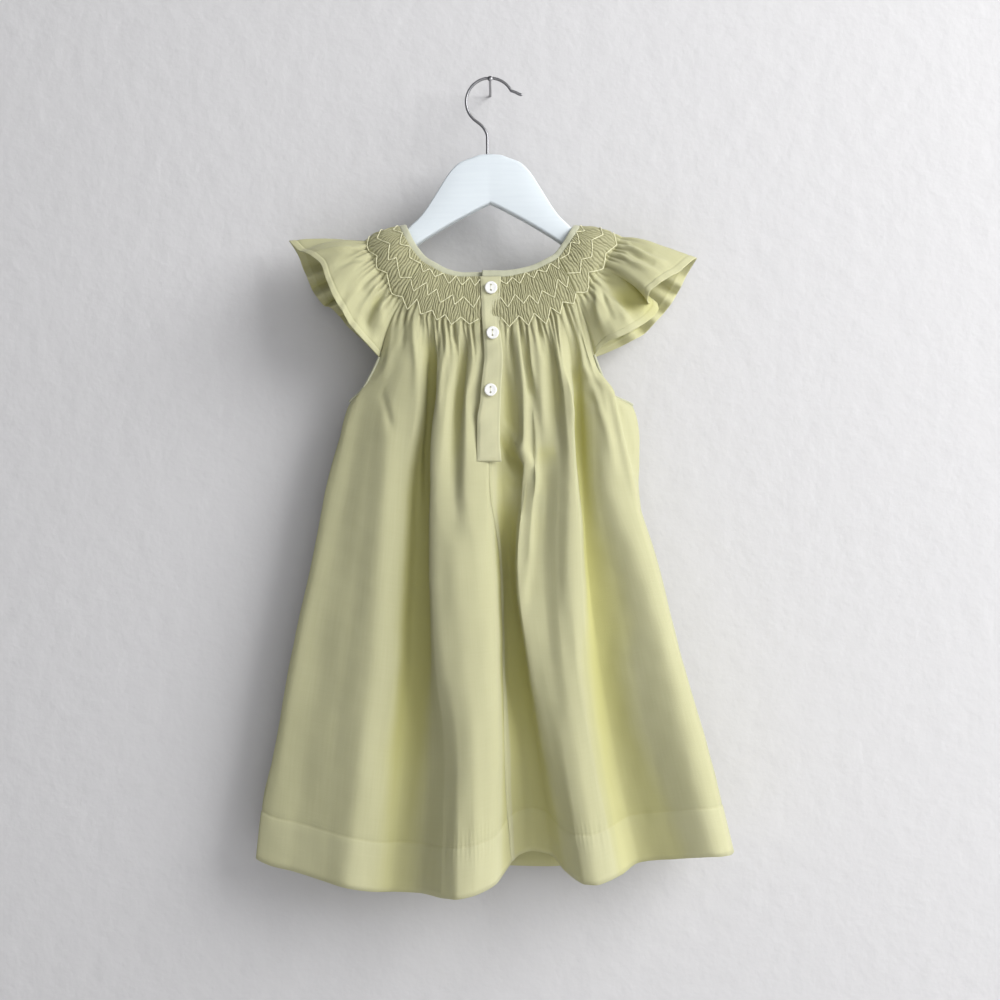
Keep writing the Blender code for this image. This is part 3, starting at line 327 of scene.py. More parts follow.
BACK_CREASES = (
    Crease(-2.6, 2.2, ((-69, -192), (-70, -208), (-72, -226))),
    Crease(1.5, 2.6, ((-76, -188), (-79, -205), (-82, -228), (-86, -252))),
    Crease(1.6, 2.6, ((-62, -196), (-62, -215), (-60, -240), (-61, -265))),
    Crease(-1.8, 2.0, ((-55, -200), (-55, -214), (-56, -228))),
    Crease(-3.6, 2.8, ((-47, -201), (-47, -228), (-47, -252), (-49, -285))),
    Crease(-2.4, 2.0, ((-39, -205), (-42, -222), (-46, -246))),
    Crease(1.6, 2.2, ((-34, -206), (-36, -226), (-40, -252), (-42, -280))),
    Crease(-2.0, 1.8, ((-29, -205), (-30, -222))),
    Crease(1.4, 2.2, ((-24, -207), (-26, -228), (-31, -256))),
    Crease(-3.0, 2.8, ((-17.6, -207), (-21, -236), (-25, -268), (-27, -300), (-28, -345))),
    Crease(-1.8, 2.6, ((-88, -262), (-84, -276), (-80, -292))),
    Crease(-3.4, 2.6, ((-47, -256), (-50.5, -290), (-52.5, -318), (-53, -340), (-54, -376))),
    Crease(-2.4, 1.9, ((16, -208), (17, -226), (20, -246))),
    Crease(-3.2, 2.2, ((25, -207), (28.5, -228), (32.5, -256), (34, -280))),
    Crease(1.8, 1.7, ((31, -211), (34, -236), (37.5, -262))),
    Crease(-2.4, 1.9, ((39, -203), (40.5, -216), (42, -232))),
    Crease(-3.0, 2.2, ((47, -205), (51, -228), (54, -252), (57, -280))),
    Crease(1.8, 2.4, ((55, -213), (61, -236), (65, -260), (67, -286))),
    Crease(-2.2, 2.0, ((57, -215), (62.5, -247), (67, -275))),
    Crease(-2.0, 1.8, ((74, -215), (78, -228), (81, -242))),
    Crease(-3.4, 3.0, ((60, -190), (64, -202), (68, -214), (71, -230), (72, -254), (73, -290),
                       (74.5, -325), (76, -356))),
    Crease(1.8, 3.0, ((79, -236), (82, -250), (88, -270), (96, -296), (103, -330))),
    Crease(-1.8, 2.6, ((86, -240), (88, -250), (92, -262))),
    Crease(3.2, 3.6, ((33, -264), (37.5, -300), (37.5, -329), (33.5, -349), (31, -398), (24, -440))),
    Crease(3.0, 3.2, ((12, -286), (22, -302), (30, -315), (36, -330), (36, -348))),
    Crease(-5.5, 3.8, ((10, -299), (17, -313), (24, -326), (28, -342), (27, -366))),
    Crease(-1.4, 3.0, ((12, -330), (20, -336), (27, -338))),
    Crease(-2.2, 1.8, ((88, -214), (91.5, -226), (95, -240))),
    Crease(2.6, 2.4, ((97, -256), (99, -262), (105.5, -292), (112, -317), (118, -341), (122, -352))),
    Crease(-2.6, 2.2, ((104, -262), (110, -290), (116.5, -315), (121.5, -338))),
    Crease(-2.0, 3.2, ((80, -240), (84, -252), (86, -266))),
    Crease(1.8, 3.0, ((74, -236), (80, -246), (90, -251), (97, -262))),
    Crease(-1.6, 2.6, ((78, -262), (86, -270), (94, -274))),
)
FRONT_CREASES = (
    Crease(-3.0, 2.4, ((-66, -196), (-70, -220), (-77, -252))),
    Crease(-3.2, 2.6, ((-44, -212), (-50, -240), (-56, -290))),
    Crease(-2.6, 2.0, ((-33, -216), (-36, -240), (-40, -262))),
    Crease(1.8, 2.4, ((-25, -220), (-26, -245), (-30, -290))),
    Crease(-2.8, 2.4, ((-15, -220), (-17, -250), (-22, -310))),
    Crease(-2.2, 2.0, ((-4, -221), (-5, -240))),
    Crease(-3.0, 2.6, ((9, -221), (9, -250), (11, -300))),
    Crease(-2.4, 2.0, ((21, -220), (24, -240), (28, -270))),
    Crease(-3.2, 2.6, ((35, -215), (41, -240), (50, -285))),
    Crease(1.8, 2.4, ((46, -210), (52, -236), (60, -280))),
    Crease(-2.8, 2.4, ((56, -203), (63, -225), (72, -250))),
    Crease(2.2, 5.0, ((-92, -262), (-86, -300), (-88, -350))),
    Crease(-2.2, 5.0, ((100, -280), (92, -320), (96, -380))),
    Crease(1.8, 5.0, ((-10, -380), (-4, -440), (-12, -520))),
    Crease(-2.0, 5.0, ((62, -400), (70, -460), (74, -530))),
)
LEFT_SLEEVE_CREASES = (
    Crease(-2.4, 2.8, ((-93, -163), (-101, -172), (-104, -182))),
    Crease(-6.5, 4.4, ((-86, -181), (-92.5, -188), (-96, -195), (-98.5, -205), (-97, -220))),
    Crease(2.0, 2.8, ((-83, -183.5), (-89, -194), (-89.5, -209))),
    Crease(2.0, 2.6, ((-92, -172), (-97, -184), (-106, -198))),
    Crease(-1.6, 2.4, ((-99, -152), (-112, -154), (-126, -160))),
    Crease(2.2, 2.0, ((-101.5, -146), (-116, -143), (-130, -143.5), (-150, -147))),
)
RIGHT_SLEEVE_CREASES = (
    Crease(2.4, 2.4, ((113.5, -141.5), (132, -152), (147, -157))),
    Crease(-1.8, 2.2, ((115.5, -137.5), (134, -147))),
    Crease(2.6, 2.4, ((107.5, -149), (116.5, -157), (132, -163), (140, -166))),
    Crease(-2.2, 2.2, ((114, -147), (134, -158))),
    Crease(-7.0, 7.0, ((92, -160), (102, -176), (112, -185), (125, -194))),
    Crease(2.6, 2.8, ((85.5, -177), (87, -190), (91, -205), (96, -219))),
    Crease(-2.4, 2.4, ((91, -178), (94.5, -190), (99.5, -204))),
    Crease(1.8, 3.2, ((103, -186), (108, -196), (113, -208))),
)
FRONT_SLEEVE_CREASES = (
    Crease(-3.0, 3.0, ((-84, -182), (-93, -192), (-104, -206))),
    Crease(2.2, 2.8, ((-88, -172), (-100, -180), (-116, -192))),
    Crease(-2.6, 2.6, ((-94, -160), (-112, -166), (-130, -176))),
    Crease(1.8, 2.4, ((-99, -150), (-118, -152), (-138, -158))),
    Crease(-3.0, 3.0, ((84, -182), (93, -194), (103, -210))),
    Crease(2.2, 2.8, ((88, -172), (102, -182), (120, -198))),
    Crease(-2.6, 2.6, ((94, -160), (114, -168), (134, -184))),
    Crease(1.8, 2.4, ((102, -146), (122, -154), (146, -168))),
)


# ---------------------------------------------------------------- meshes
def grid_object(name: str, points: Array, flip: bool, uv: Array,
                marks: dict[str, Array] | None = None) -> bpy.types.Object:
    """Makes a sheet by laying a bmesh grid's vertices on an array of points.

    Args:
        name: The object's name.
        points: Rows by columns by 3, in millimetres.
        flip: Whether the faces are turned over.
        uv: Rows by columns by 2, in metres on the flat cloth.
        marks: A name and rows by columns of numbers for each thing the finish reads.

    Returns:
        The object, linked to the scene.
    """
    rows, columns = points.shape[:2]
    bm = bmesh.new()
    bmesh.ops.create_grid(bm, x_segments=columns - 1, y_segments=rows - 1, size=1.0)
    mesh = bpy.data.meshes.new(name)
    if flip:
        bmesh.ops.reverse_faces(bm, faces=bm.faces)
    bm.to_mesh(mesh)
    bm.free()
    mesh.vertices.foreach_set("co", (points.reshape(-1) * MM).astype(np.float32))
    layer = mesh.uv_layers.new(name="cloth")
    corner = np.zeros(len(mesh.loops), np.int32)
    mesh.loops.foreach_get("vertex_index", corner)
    layer.data.foreach_set("uv", uv.reshape(-1, 2)[corner].reshape(-1).astype(np.float32))
    for mark, values in (marks or {}).items():
        kept = mesh.attributes.new(mark, "FLOAT", "POINT")
        kept.data.foreach_set("value", values.reshape(-1).astype(np.float32))
    mesh.shade_smooth()
    mesh.update()
    return linked(name, mesh)


def tube_object(name: str, tubes: Sequence[Array]) -> bpy.types.Object:
    """Makes round-sided bodies from rings of points, each from a grid rolled up and welded.

    Args:
        name: The object's name.
        tubes: One array for each tube, rings by sides by 3, in millimetres.

    Returns:
        The object, linked to the scene.
    """
    bm = bmesh.new()
    for rings in tubes:
        rings = np.concatenate([rings, rings[:, :1]], axis=1)
        rows, columns = rings.shape[:2]
        made = bmesh.ops.create_grid(bm, x_segments=columns - 1, y_segments=rows - 1, size=1.0)["verts"]
        for vert, point in zip(made, rings.reshape(-1, 3) * MM):
            vert.co = point
        bmesh.ops.remove_doubles(bm, verts=made, dist=WELD)
    bmesh.ops.holes_fill(bm, edges=[edge for edge in bm.edges if edge.is_boundary], sides=0)
    bmesh.ops.recalc_face_normals(bm, faces=bm.faces)
    return mesh_object(name, bm)


def turned(profile: Sequence[tuple[float, float]], steps: int) -> bmesh.types.BMesh:
    """Spins a profile round the y axis.

    Args:
        profile: The radius and the y of each point, in millimetres.
        steps: How many steps the spin has.

    Returns:
        The closed body.
    """
    bm = bmesh.new()
    verts = [bm.verts.new((radius * MM, y * MM, 0.0)) for radius, y in profile]
    edges = [bm.edges.new(pair) for pair in zip(verts, verts[1:])]
    bmesh.ops.spin(bm, geom=verts + edges, axis=(0, 1, 0), cent=(0, 0, 0), steps=steps,
                   angle=2.0 * math.pi, use_merge=True)
    bmesh.ops.remove_doubles(bm, verts=bm.verts, dist=WELD)
    bmesh.ops.recalc_face_normals(bm, faces=bm.faces)
    return bm


def linked(name: str, mesh: bpy.types.Mesh) -> bpy.types.Object:
    """Puts a mesh into the scene as an object.

    Args:
        name: The object's name.
        mesh: Its mesh.

    Returns:
        The object.
    """
    obj = bpy.data.objects.new(name, mesh)
    bpy.context.scene.collection.objects.link(obj)
    return obj


def mesh_object(name: str, bm: bmesh.types.BMesh) -> bpy.types.Object:
    """Ends a bmesh as an object.

    Args:
        name: The object's name.
        bm: The bmesh, which is freed.

    Returns:
        The object, linked to the scene.
    """
    mesh = bpy.data.meshes.new(name)
    bm.to_mesh(mesh)
    bm.free()
    mesh.shade_smooth()
    return linked(name, mesh)


def thicken(obj: bpy.types.Object, wall: float) -> None:
    """Gives a sheet its thickness behind its face.

    Args:
        obj: The sheet.
        wall: The thickness, in millimetres.
    """
    solid = obj.modifiers.new("cloth", "SOLIDIFY")
    solid.thickness = wall * MM
    solid.offset = -1.0


def finish_piece(obj: bpy.types.Object, material: bpy.types.Material, slot: Slot, *nodes: str) -> None:
    """Dresses a piece, hangs it on the body and hides the frame's nodes it stands for.

    Args:
        obj: The piece.
        material: Its finish.
        slot: Not used.
        *nodes: The frame's nodes it replaces.
    """
    obj.data.materials.append(material)
    if nodes:
        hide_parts(*nodes)
    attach(obj, "root")
    LOG.info("%s: %d faces", obj.name, len(obj.data.polygons))


def rings_along(path: Array, wide: Array, thick: Array, half_width: Array | float,
                half_thick: Array | float, sides: int, square: float = 1.0) -> Array:
    """Lays an oval section along a path.

    Args:
        path: The points of the path, in millimetres.
        wide: The width direction at each point.
        thick: The thickness direction at each point.
        half_width: Half of the section's width, one number or one a point.
        half_thick: Half of its thickness.
        sides: How many sides the section has.
        square: Below 1 the section grows flatter sides, as a folded strip has.

    Returns:
        Rings by sides by 3.
    """
    turn = 2.0 * np.pi * (np.arange(sides) + 0.5) / sides
    across = np.sign(np.cos(turn)) * np.abs(np.cos(turn)) ** square
    up = np.sign(np.sin(turn)) * np.abs(np.sin(turn)) ** square
    width = np.broadcast_to(half_width, len(path))[:, None, None]
    depth = np.broadcast_to(half_thick, len(path))[:, None, None]
    return (path[:, None, :] + wide[:, None, :] * across[None, :, None] * width
            + thick[:, None, :] * up[None, :, None] * depth)


def square_to(path: Array, roughly: Array) -> tuple[Array, Array]:
    """Two directions square to a path at each point.

    Args:
        path: The points of the path.
        roughly: About where the second direction goes, at each point.

    Returns:
        The direction across and the one that is roughly as asked.
    """
    ahead = unit(np.gradient(path, axis=0))
    wide = unit(np.cross(ahead, roughly))
    return wide, unit(np.cross(wide, ahead))


# ---------------------------------------------------------------- the dress
class Yoke:
    """The smocked ring of cloth from the neck seam to the skirt."""

    def __init__(self) -> None:
        """Reads both rings from the table of stations."""
        neck, lower = [], []
        for k in range(RING_STATIONS):
            quarter, step = divmod(k, SHOULDER)
            row = STATIONS[step if quarter % 2 == 0 else SHOULDER - step]
            right = quarter in (0, 1)
            is_front = quarter in (1, 2)
            side = 1.0 if is_front else -1.0
            drop = row.front_drop if is_front else 0.0
            x, z = row.neck_right if right else row.neck_left
            neck.append((x, side * row.neck_proud, z - drop))
            x, z = row.yoke_right if right else row.yoke_left
            lower.append((x, side * row.yoke_proud, z - drop))
        self.neck = np.array(neck)
        self.lower = np.array(lower)

    @staticmethod
    def on_ring(ring: Array, station: Array) -> Array:
        """Reads a closed ring at stations, which may lie between two rows.

        Args:
            ring: The ring's points, one a whole station.
            station: The places round the yoke.

        Returns:
            One point for each station.
        """
        k = np.floor(station).astype(int)
        u = (station - k)[..., None]
        a, b, c, d = (ring[(k + n) % RING_STATIONS] for n in (-1, 0, 1, 2))
        return 0.5 * ((2 * b) + (c - a) * u + (2 * a - 5 * b + 4 * c - d) * u ** 2
                      + (3 * b - a - 3 * c + d) * u ** 3)

    def point(self, station: Array, w: Array | float) -> Array:
        """The yoke's face without pleats.

        Args:
            station: The places round the yoke.
            w: 0 at the neck and 1 at the skirt, one number or one a station.

        Returns:
            One point for each station.
        """
        station = np.asarray(station, float)
        w = np.broadcast_to(w, station.shape)[..., None]
        neck = self.on_ring(self.neck, station)
        lower = self.on_ring(self.lower, station)
        along = self.on_ring(self.lower, station + 0.05) - self.on_ring(self.lower, station - 0.05)
        out = unit(np.cross(along, lower - neck))
        return between(neck, lower, w) - out * YOKE_PUFF * np.sin(np.pi * w)


YOKE = Yoke()


class EdgeLine:
    """The outer edge of the body panels, from the yoke down to the hem."""

    def __init__(self, station: float, edge: Sequence[Edge]) -> None:
        """Fits the edge's curves.

        Args:
            station: The raglan station where the edge leaves the yoke.
            edge: The rows of its table.
        """
        self.top = YOKE.point(np.array([station]), 1.0)[0]
        heights = [-self.top[2]] + [-row.z for row in edge]
        self.x = Curve(heights, [self.top[0]] + [row.x for row in edge])
        self.proud = Curve(heights, [abs(self.top[1])] + [row.proud for row in edge])
        self.cap_z = edge[SLEEVE_END].z
        self.underarm_z = edge[UNDERARM].z
        self.hem_z = edge[-1].z

    def point(self, z: Array | float, side: Side) -> Array:
        """The edge's points at heights, on the back or the front."""
        z = np.asarray(z, float)
        return np.stack([self.x(-z), side.value * self.proud(-z), z], axis=-1)


YOKE_LENGTH = 41.0
YOKE_CUT = 0.042


@dataclass
class StitchRow:
    """One zigzag row of smocking stitches, as corners over a piece."""

    places: Array
    depths: Array

    def depth(self, c: Array) -> Array:
        """How far down the yoke the row runs: 0 at the neck and 1 at the skirt."""
        return np.interp(c, self.places, self.depths)


@dataclass
class ClothPiece:
    """A cut piece from the neck seam to its hem, as a surface over (c, w).

    c runs from 0 to 1 across the piece. w runs from 0 at the neck to 1 at the yoke's lower edge,
    and on to 2 at the hem.
    """

    name: str
    first_station: float
    last_station: float
    pleats: int
    flat: tuple[float, float]
    flat_area: float
    outward: float
    periods: int
    creases: Sequence[Crease]
    rests_on: tuple[str, ...] = ("hanger_wood",)
    first_stitch: float = 0.0
    last_stitch: float = 1.0
    columns_per_pleat: int = 6
    yoke_rows: int = 58
    skirt_rows: int = 112
    row_spread: float = 1.15
    hem_row_step: float = 0.0025
    hem_row_clear: float = 0.0075
    pleat_rise: float = 1.5
    cinch: float = 0.45
    gather_spacing: float = 5.0
    gather_depth: tuple[float, float] = (1.3, 2.9)
    gather_length: tuple[float, float] = (0.35, 1.5)
    seam_depth: float = 0.8
    crumple_height: float = 0.45
    wall: float = 0.5
    shade_reach: float = 0.22
    shade_depth: float = 12.0
    hem_from: float = 0.914
    hem_step: float = 0.35
    hem_rise: float = 1.5
    hem_stitch_depth: float = 0.42
    hem_stitch_width: float = 1.3
    hem_light: float = 0.4
    loose_length: float = 440.0
    stitch_depths: tuple[tuple[float, float], ...] = ((0.03, 0.19), (0.43, 0.62), (0.82, 1.02))

    def __post_init__(self) -> None:
        """Turns equal shares of the yoke's lower edge into stations, and lays out the stitches."""
        stations = np.linspace(self.first_station, self.last_station, 61)
        run = run_along(YOKE.point(stations, 1.0))
        self.stations = Curve(run / run[-1], stations)
        self.yoke_edge = float(run[-1])
        shares = np.linspace(0.0, 1.0, 21)
        self.top_z = Curve(shares, YOKE.point(self.stations(shares), 1.0)[:, 2])
        self.phase = math.sin(12.9 * self.first_station + 7.7) * 10.0
        self.random = np.random.default_rng(int(abs(self.phase) * 100) + 3)
        self.stitches = [self.zigzag(peak, valley) for peak, valley in self.stitch_depths]

    def zigzag(self, peak: float, valley: float) -> StitchRow:
        """Lays out one row of stitches, each corner a little off as hand work is.

        Args:
            peak: How far down the yoke its upper corners lie.
            valley: How far down its lower corners lie.

        Returns:
            The row.
        """
        places = np.linspace(self.first_stitch, self.last_stitch, 2 * self.periods + 1)
        step = places[1] - places[0]
        places[1:-1] += self.random.uniform(-0.28, 0.28, len(places) - 2) * step
        depths = np.where(np.arange(len(places)) % 2 == 0, peak, valley)
        return StitchRow(places, depths + self.random.uniform(-0.05, 0.05, len(places)))

    # ---- surface
    def below_yoke(self, c: Array, t: float) -> Array:
        """The points of one level of the loose part."""
        raise NotImplementedError

    def row(self, c: Array, w: float) -> Array:
        """The smooth face at one level."""
        return YOKE.point(self.stations(c), w) if w <= 1.0 else self.below_yoke(c, w - 1.0)

    def skirt_levels(self) -> Array:
        """The rows of the loose part, close together at the hem's stitches.

        Returns:
            How far each row lies from the yoke to the hem, from 0 to 1.
        """
        rows = np.linspace(0.0, 1.0, self.skirt_rows + 1)[1:] ** self.row_spread
        near_stitches = self.hem_from + self.hem_row_step * np.arange(-2.0, 3.0)
        rows = rows[np.abs(rows - self.hem_from) > self.hem_row_clear]
        return np.sort(np.concatenate([rows, near_stitches]))

    def levels(self) -> Array:
        """Every row of the grid, from the neck to the hem."""
        return np.concatenate([np.linspace(0.0, 1.0, self.yoke_rows), 1.0 + self.skirt_levels()])

    def normals(self, grid: Array) -> Array:
        """The directions out of the cloth."""
        return unit(self.outward * np.cross(np.gradient(grid, axis=1), np.gradient(grid, axis=0)))

    def depth(self, w: Array) -> Array:
        """w as a depth counted in yoke lengths all the way to the hem."""
        return np.where(w <= 1.0, w, 1.0 + (w - 1.0) * self.loose_length / YOKE_LENGTH)

    def level(self, depth: Array) -> Array:
        """The w of a depth."""
        return np.where(depth <= 1.0, depth, 1.0 + (depth - 1.0) * YOKE_LENGTH / self.loose_length)

    # ---- relief
    def edge_fade(self, c: Array, share: float) -> Array:
        """0 at the piece's side edges and 1 a share of the width in."""
        return smooth(c / share) * smooth((1.0 - c) / share)

    def pleat_place(self, c: Array, depth: Array) -> Array:
        """Counts the pleats across, each line swaying a little on its way down.

        Args:
            c: The places across.
            depth: How far down, in yoke lengths.

        Returns:
            The count at each place, whole in the grooves.
        """
        sway = (0.30 * np.sin(5.6 * depth + 17.0 * c + self.phase)
                + 0.20 * np.sin(14.0 * depth - 41.0 * c + 2.0 * self.phase)
                + 0.10 * np.sin(31.0 * depth + 97.0 * c))
        return c * self.pleats + sway * self.edge_fade(c, 0.03)

    def pleat_relief(self, c: Array, depth: Array) -> tuple[Array, Array]:
        """The smocked pleats: round ridges with narrow grooves between.

        Args:
            c: The places across.
            depth: How far down, in yoke lengths.

        Returns:
            The height, and how far into a groove each place is, from 0 to 1, for the painted shade in the
            grooves.
        """
        place = self.pleat_place(c, depth)
        ridge = np.abs(np.sin(np.pi * place))
        groove = np.round(place)
        deep = 0.74 + 0.26 * np.sin(groove * 2.4 + self.phase) * np.sin(groove * 0.7 + 3.0 * depth)
        here = self.edge_fade(c, 0.012) * smooth((self.stitches[-1].depth(c) + 0.05 - depth) / 0.08)
        here = here * smooth((depth + 0.03) / 0.05)
        cinch = np.ones_like(c)
        for row in self.stitches:
            cinch = cinch - self.cinch * np.exp(-((depth - row.depth(c)) / 0.05) ** 2)
        height = 1.0 - (1.0 - ridge ** 0.6) * deep
        return self.pleat_rise * height * cinch * here, (1.0 - ridge ** 0.5) * deep * here

    def gather_relief(self, c: Array, depth: Array) -> tuple[Array, Array]:
        """The pleats opening into plump lobes with tapering furrows under the last stitches.

        Args:
            c: The places across.
            depth: How far down, in yoke lengths.

        Returns:
            The height, and how far into a furrow each place is, from 0 to 1, for the painted shade in the
            furrows.
        """
        past = depth - self.stitches[-1].depth(c)
        total = 1.2 * smooth(past / 0.10) * (1.0 - smooth((past - 0.1) / 1.3))
        count = int(self.yoke_edge / self.gather_spacing)
        t = np.clip(past, 0.0, None)
        furrow = np.zeros_like(c)
        for k in range(count):
            centre = (k + 0.5 + self.random.uniform(-0.3, 0.3)) / count
            length = self.random.uniform(*self.gather_length)
            drift = self.random.uniform(-0.012, 0.012)
            depth_here = self.random.uniform(*self.gather_depth)
            width = (1.0 + 0.9 * t) / self.yoke_edge
            rise = smooth((past + 0.03) / 0.08) * (1.0 - smooth(t / length)) ** 1.3
            line = rise * np.exp(-((c - centre - drift * t) / width) ** 2)
            total = total - depth_here * line
            furrow = np.maximum(furrow, line)
        return total * self.edge_fade(c, 0.03), furrow * self.edge_fade(c, 0.03)

    def seam_relief(self, grid: Array) -> Array:
        """The furrows where the piece is sewn to the next one.

        Args:
            grid: The smooth face.

        Returns:
            The height at each place.
        """
        along = np.linalg.norm(np.diff(grid, axis=1), axis=2)
        run = np.concatenate([np.zeros((len(grid), 1)), np.cumsum(along, axis=1)], axis=1)
        near = np.minimum(run, run[:, -1:] - run)
        loose = smooth((self.levels()[:, None] - 1.0) / 0.05)
        return -self.seam_depth * np.exp(-(near / 1.5) ** 2) * loose

    def past_hem_line(self) -> Array:
        """How far each place lies below the hem's stitches, in millimetres."""
        return (self.w - 1.0 - self.hem_from) * self.loose_length

    def hem_ripple(self) -> Array:
        """The faint puckers along the hem's stitches."""
        wave = 0.16 * np.sin(self.c * 118.0 + self.phase) * np.sin(self.c * 47.0)
        return wave * np.exp(-(self.past_hem_line() / 10.0) ** 2)

    def hem_relief(self) -> Array:
        """The doubled hem's step, the stitched line above it and what ripples there.

        Returns:
            The height at each place.
        """
        past = self.past_hem_line()
        step = self.hem_step * smooth(past / self.hem_rise)
        stitches = self.hem_stitch_depth * np.exp(-(past / self.hem_stitch_width) ** 2)
        return step - stitches + self.hem_ripple()

    def crease_relief(self, grid: Array) -> Array:
        """Soft uneven ridges and furrows along the lines of the table."""
        return creased(grid[..., 0], grid[..., 2], self.creases)

    def crumple(self, grid: Array, w: Array) -> Array:
        """The faint unevenness all over the loose cloth.

        Args:
            grid: The smooth face.
            w: The places down.

        Returns:
            The height at each place.
        """
        x, z = grid[..., 0], grid[..., 2]
        wave = (np.sin(x * 0.061 + z * 0.023 + self.phase) * np.sin(z * 0.037 - x * 0.017)
                + 0.6 * np.sin(x * 0.131 - z * 0.047 + 2.0 * self.phase) * np.sin(z * 0.083 + x * 0.029)
                + 0.25 * np.sin(x * 0.29 + z * 0.11 + self.phase) * np.sin(z * 0.17 - x * 0.07))
        return self.crumple_height * wave * smooth((w - 1.0) / 0.15)

    def shape(self) -> None:
        """Works out the smooth face, the finished face and the marks for the finish."""
        count = self.pleats * self.columns_per_pleat
        places, levels = np.linspace(0.0, 1.0, count + 1), self.levels()
        self.plain = np.stack([self.row(places, w) for w in levels])
        self.c, self.w = np.meshgrid(places, levels)
        self.out = self.normals(self.plain)
        depth = self.depth(self.w)
        pleats, groove = self.pleat_relief(self.c, depth)
        gathers, furrow = self.gather_relief(self.c, depth)
        relief = (pleats + gathers + self.hem_relief() + self.crease_relief(self.plain)
                  + self.crumple(self.plain, self.w) + self.seam_relief(self.plain))
        self.face = self.plain + self.out * relief[..., None]
        # Painted shade over the smocked part, above its last row of stitches.
        smocked = smooth((self.stitches[-1].depth(self.c) + 0.02 - depth) / 0.06)
        double = self.hem_light * smooth(self.past_hem_line())
        # The groove, smocked and deep marks carry painted shade into the finish.
        self.marks = {"groove": np.maximum(groove, 0.45 * furrow), "smocked": smocked,
                      "double": double, "deep": self.painted_fold_shade()}

    def beside(self, height: Array, after: bool) -> Array:
        """The highest cloth near each place on one side of it, where the panel ends with its edge.

        Args:
            height: How far out each place lies.
            after: Whether the side with the larger c is meant.

        Returns:
            The greatest height there.
        """
        reach = int(self.shade_reach * len(self.c[0]))
        wide = np.pad(height, ((0, 0), (reach, reach)), mode="edge")
        first = reach + 1 if after else 0
        return np.max([wide[:, k:k + len(self.c[0])] for k in range(first, first + reach, 3)], axis=0)

    def painted_fold_shade(self) -> Array:
        """Painted shade for the folds: how deep each place lies between the cloth on both sides of it, less
        so near the hem.

        Returns:
            The depth, from 0 to 1.
        """
        height = -self.face[..., 1] * (1.0 if self.face[..., 1].mean() < 0.0 else -1.0)
        behind = np.minimum(self.beside(height, False), self.beside(height, True)) - height
        loose = smooth((self.w - 1.0) / 0.05)
        low = smooth((self.w - 1.65) / 0.25)
        return smooth((behind - 1.0) / self.shade_depth) * loose * (1.0 - 0.4 * low)

    def build(self, material: bpy.types.Material) -> bpy.types.Object:
        """Args:
            material: The cloth's finish.

        Returns:
            The piece.
        """
        self.shape()
        down = np.where(self.w <= 1.0, self.w * YOKE_CUT,
                        YOKE_CUT + (self.w - 1.0) * (self.flat[1] - YOKE_CUT))
        uv = np.stack([self.c * self.flat[0], down], axis=-1)
        obj = grid_object(self.name + "_cloth", self.face, self.outward < 0.0, uv, self.marks)
        thicken(obj, self.wall)
        finish_piece(obj, material, Slot.CLOTH, self.name)
        return obj


def creased(x: Array, z: Array, creases: Sequence[Crease]) -> Array:
    """Adds up the creases over a face.

    Args:
        x: The places across, in millimetres.
        z: Their heights.
        creases: The table.

    Returns:
        How far each place stands out.
    """
    total = np.zeros(x.shape)
    for number, crease in enumerate(creases):
        line = np.array(crease.points, float)
        at = run_along(line)
        run = np.linspace(0.0, at[-1], 6 * (len(line) - 1) + 1)
        fine = np.stack([Curve(at, line[:, axis])(run) for axis in (0, 1)], axis=1)
        best, place = np.full(x.shape, 1e9), np.zeros(x.shape)
        for k, (a, b) in enumerate(zip(fine, fine[1:])):
            span = b - a
            u = np.clip(((x - a[0]) * span[0] + (z - a[1]) * span[1]) / (span @ span), 0.0, 1.0)
            away = np.hypot(x - a[0] - u * span[0], z - a[1] - u * span[1])
            place = np.where(away < best, (k + u) / (len(fine) - 1), place)
            best = np.minimum(away, best)
        taper = np.sin(np.pi * (0.10 + 0.88 * place)) ** 0.8
        uneven = 1.0 + 0.18 * np.sin(place * 9.0 + 2.0 * number)
        width = crease.half_width * (0.7 + 0.7 * place)
        total += crease.rise * taper * uneven * np.exp(-(best / width) ** 2)
    return total


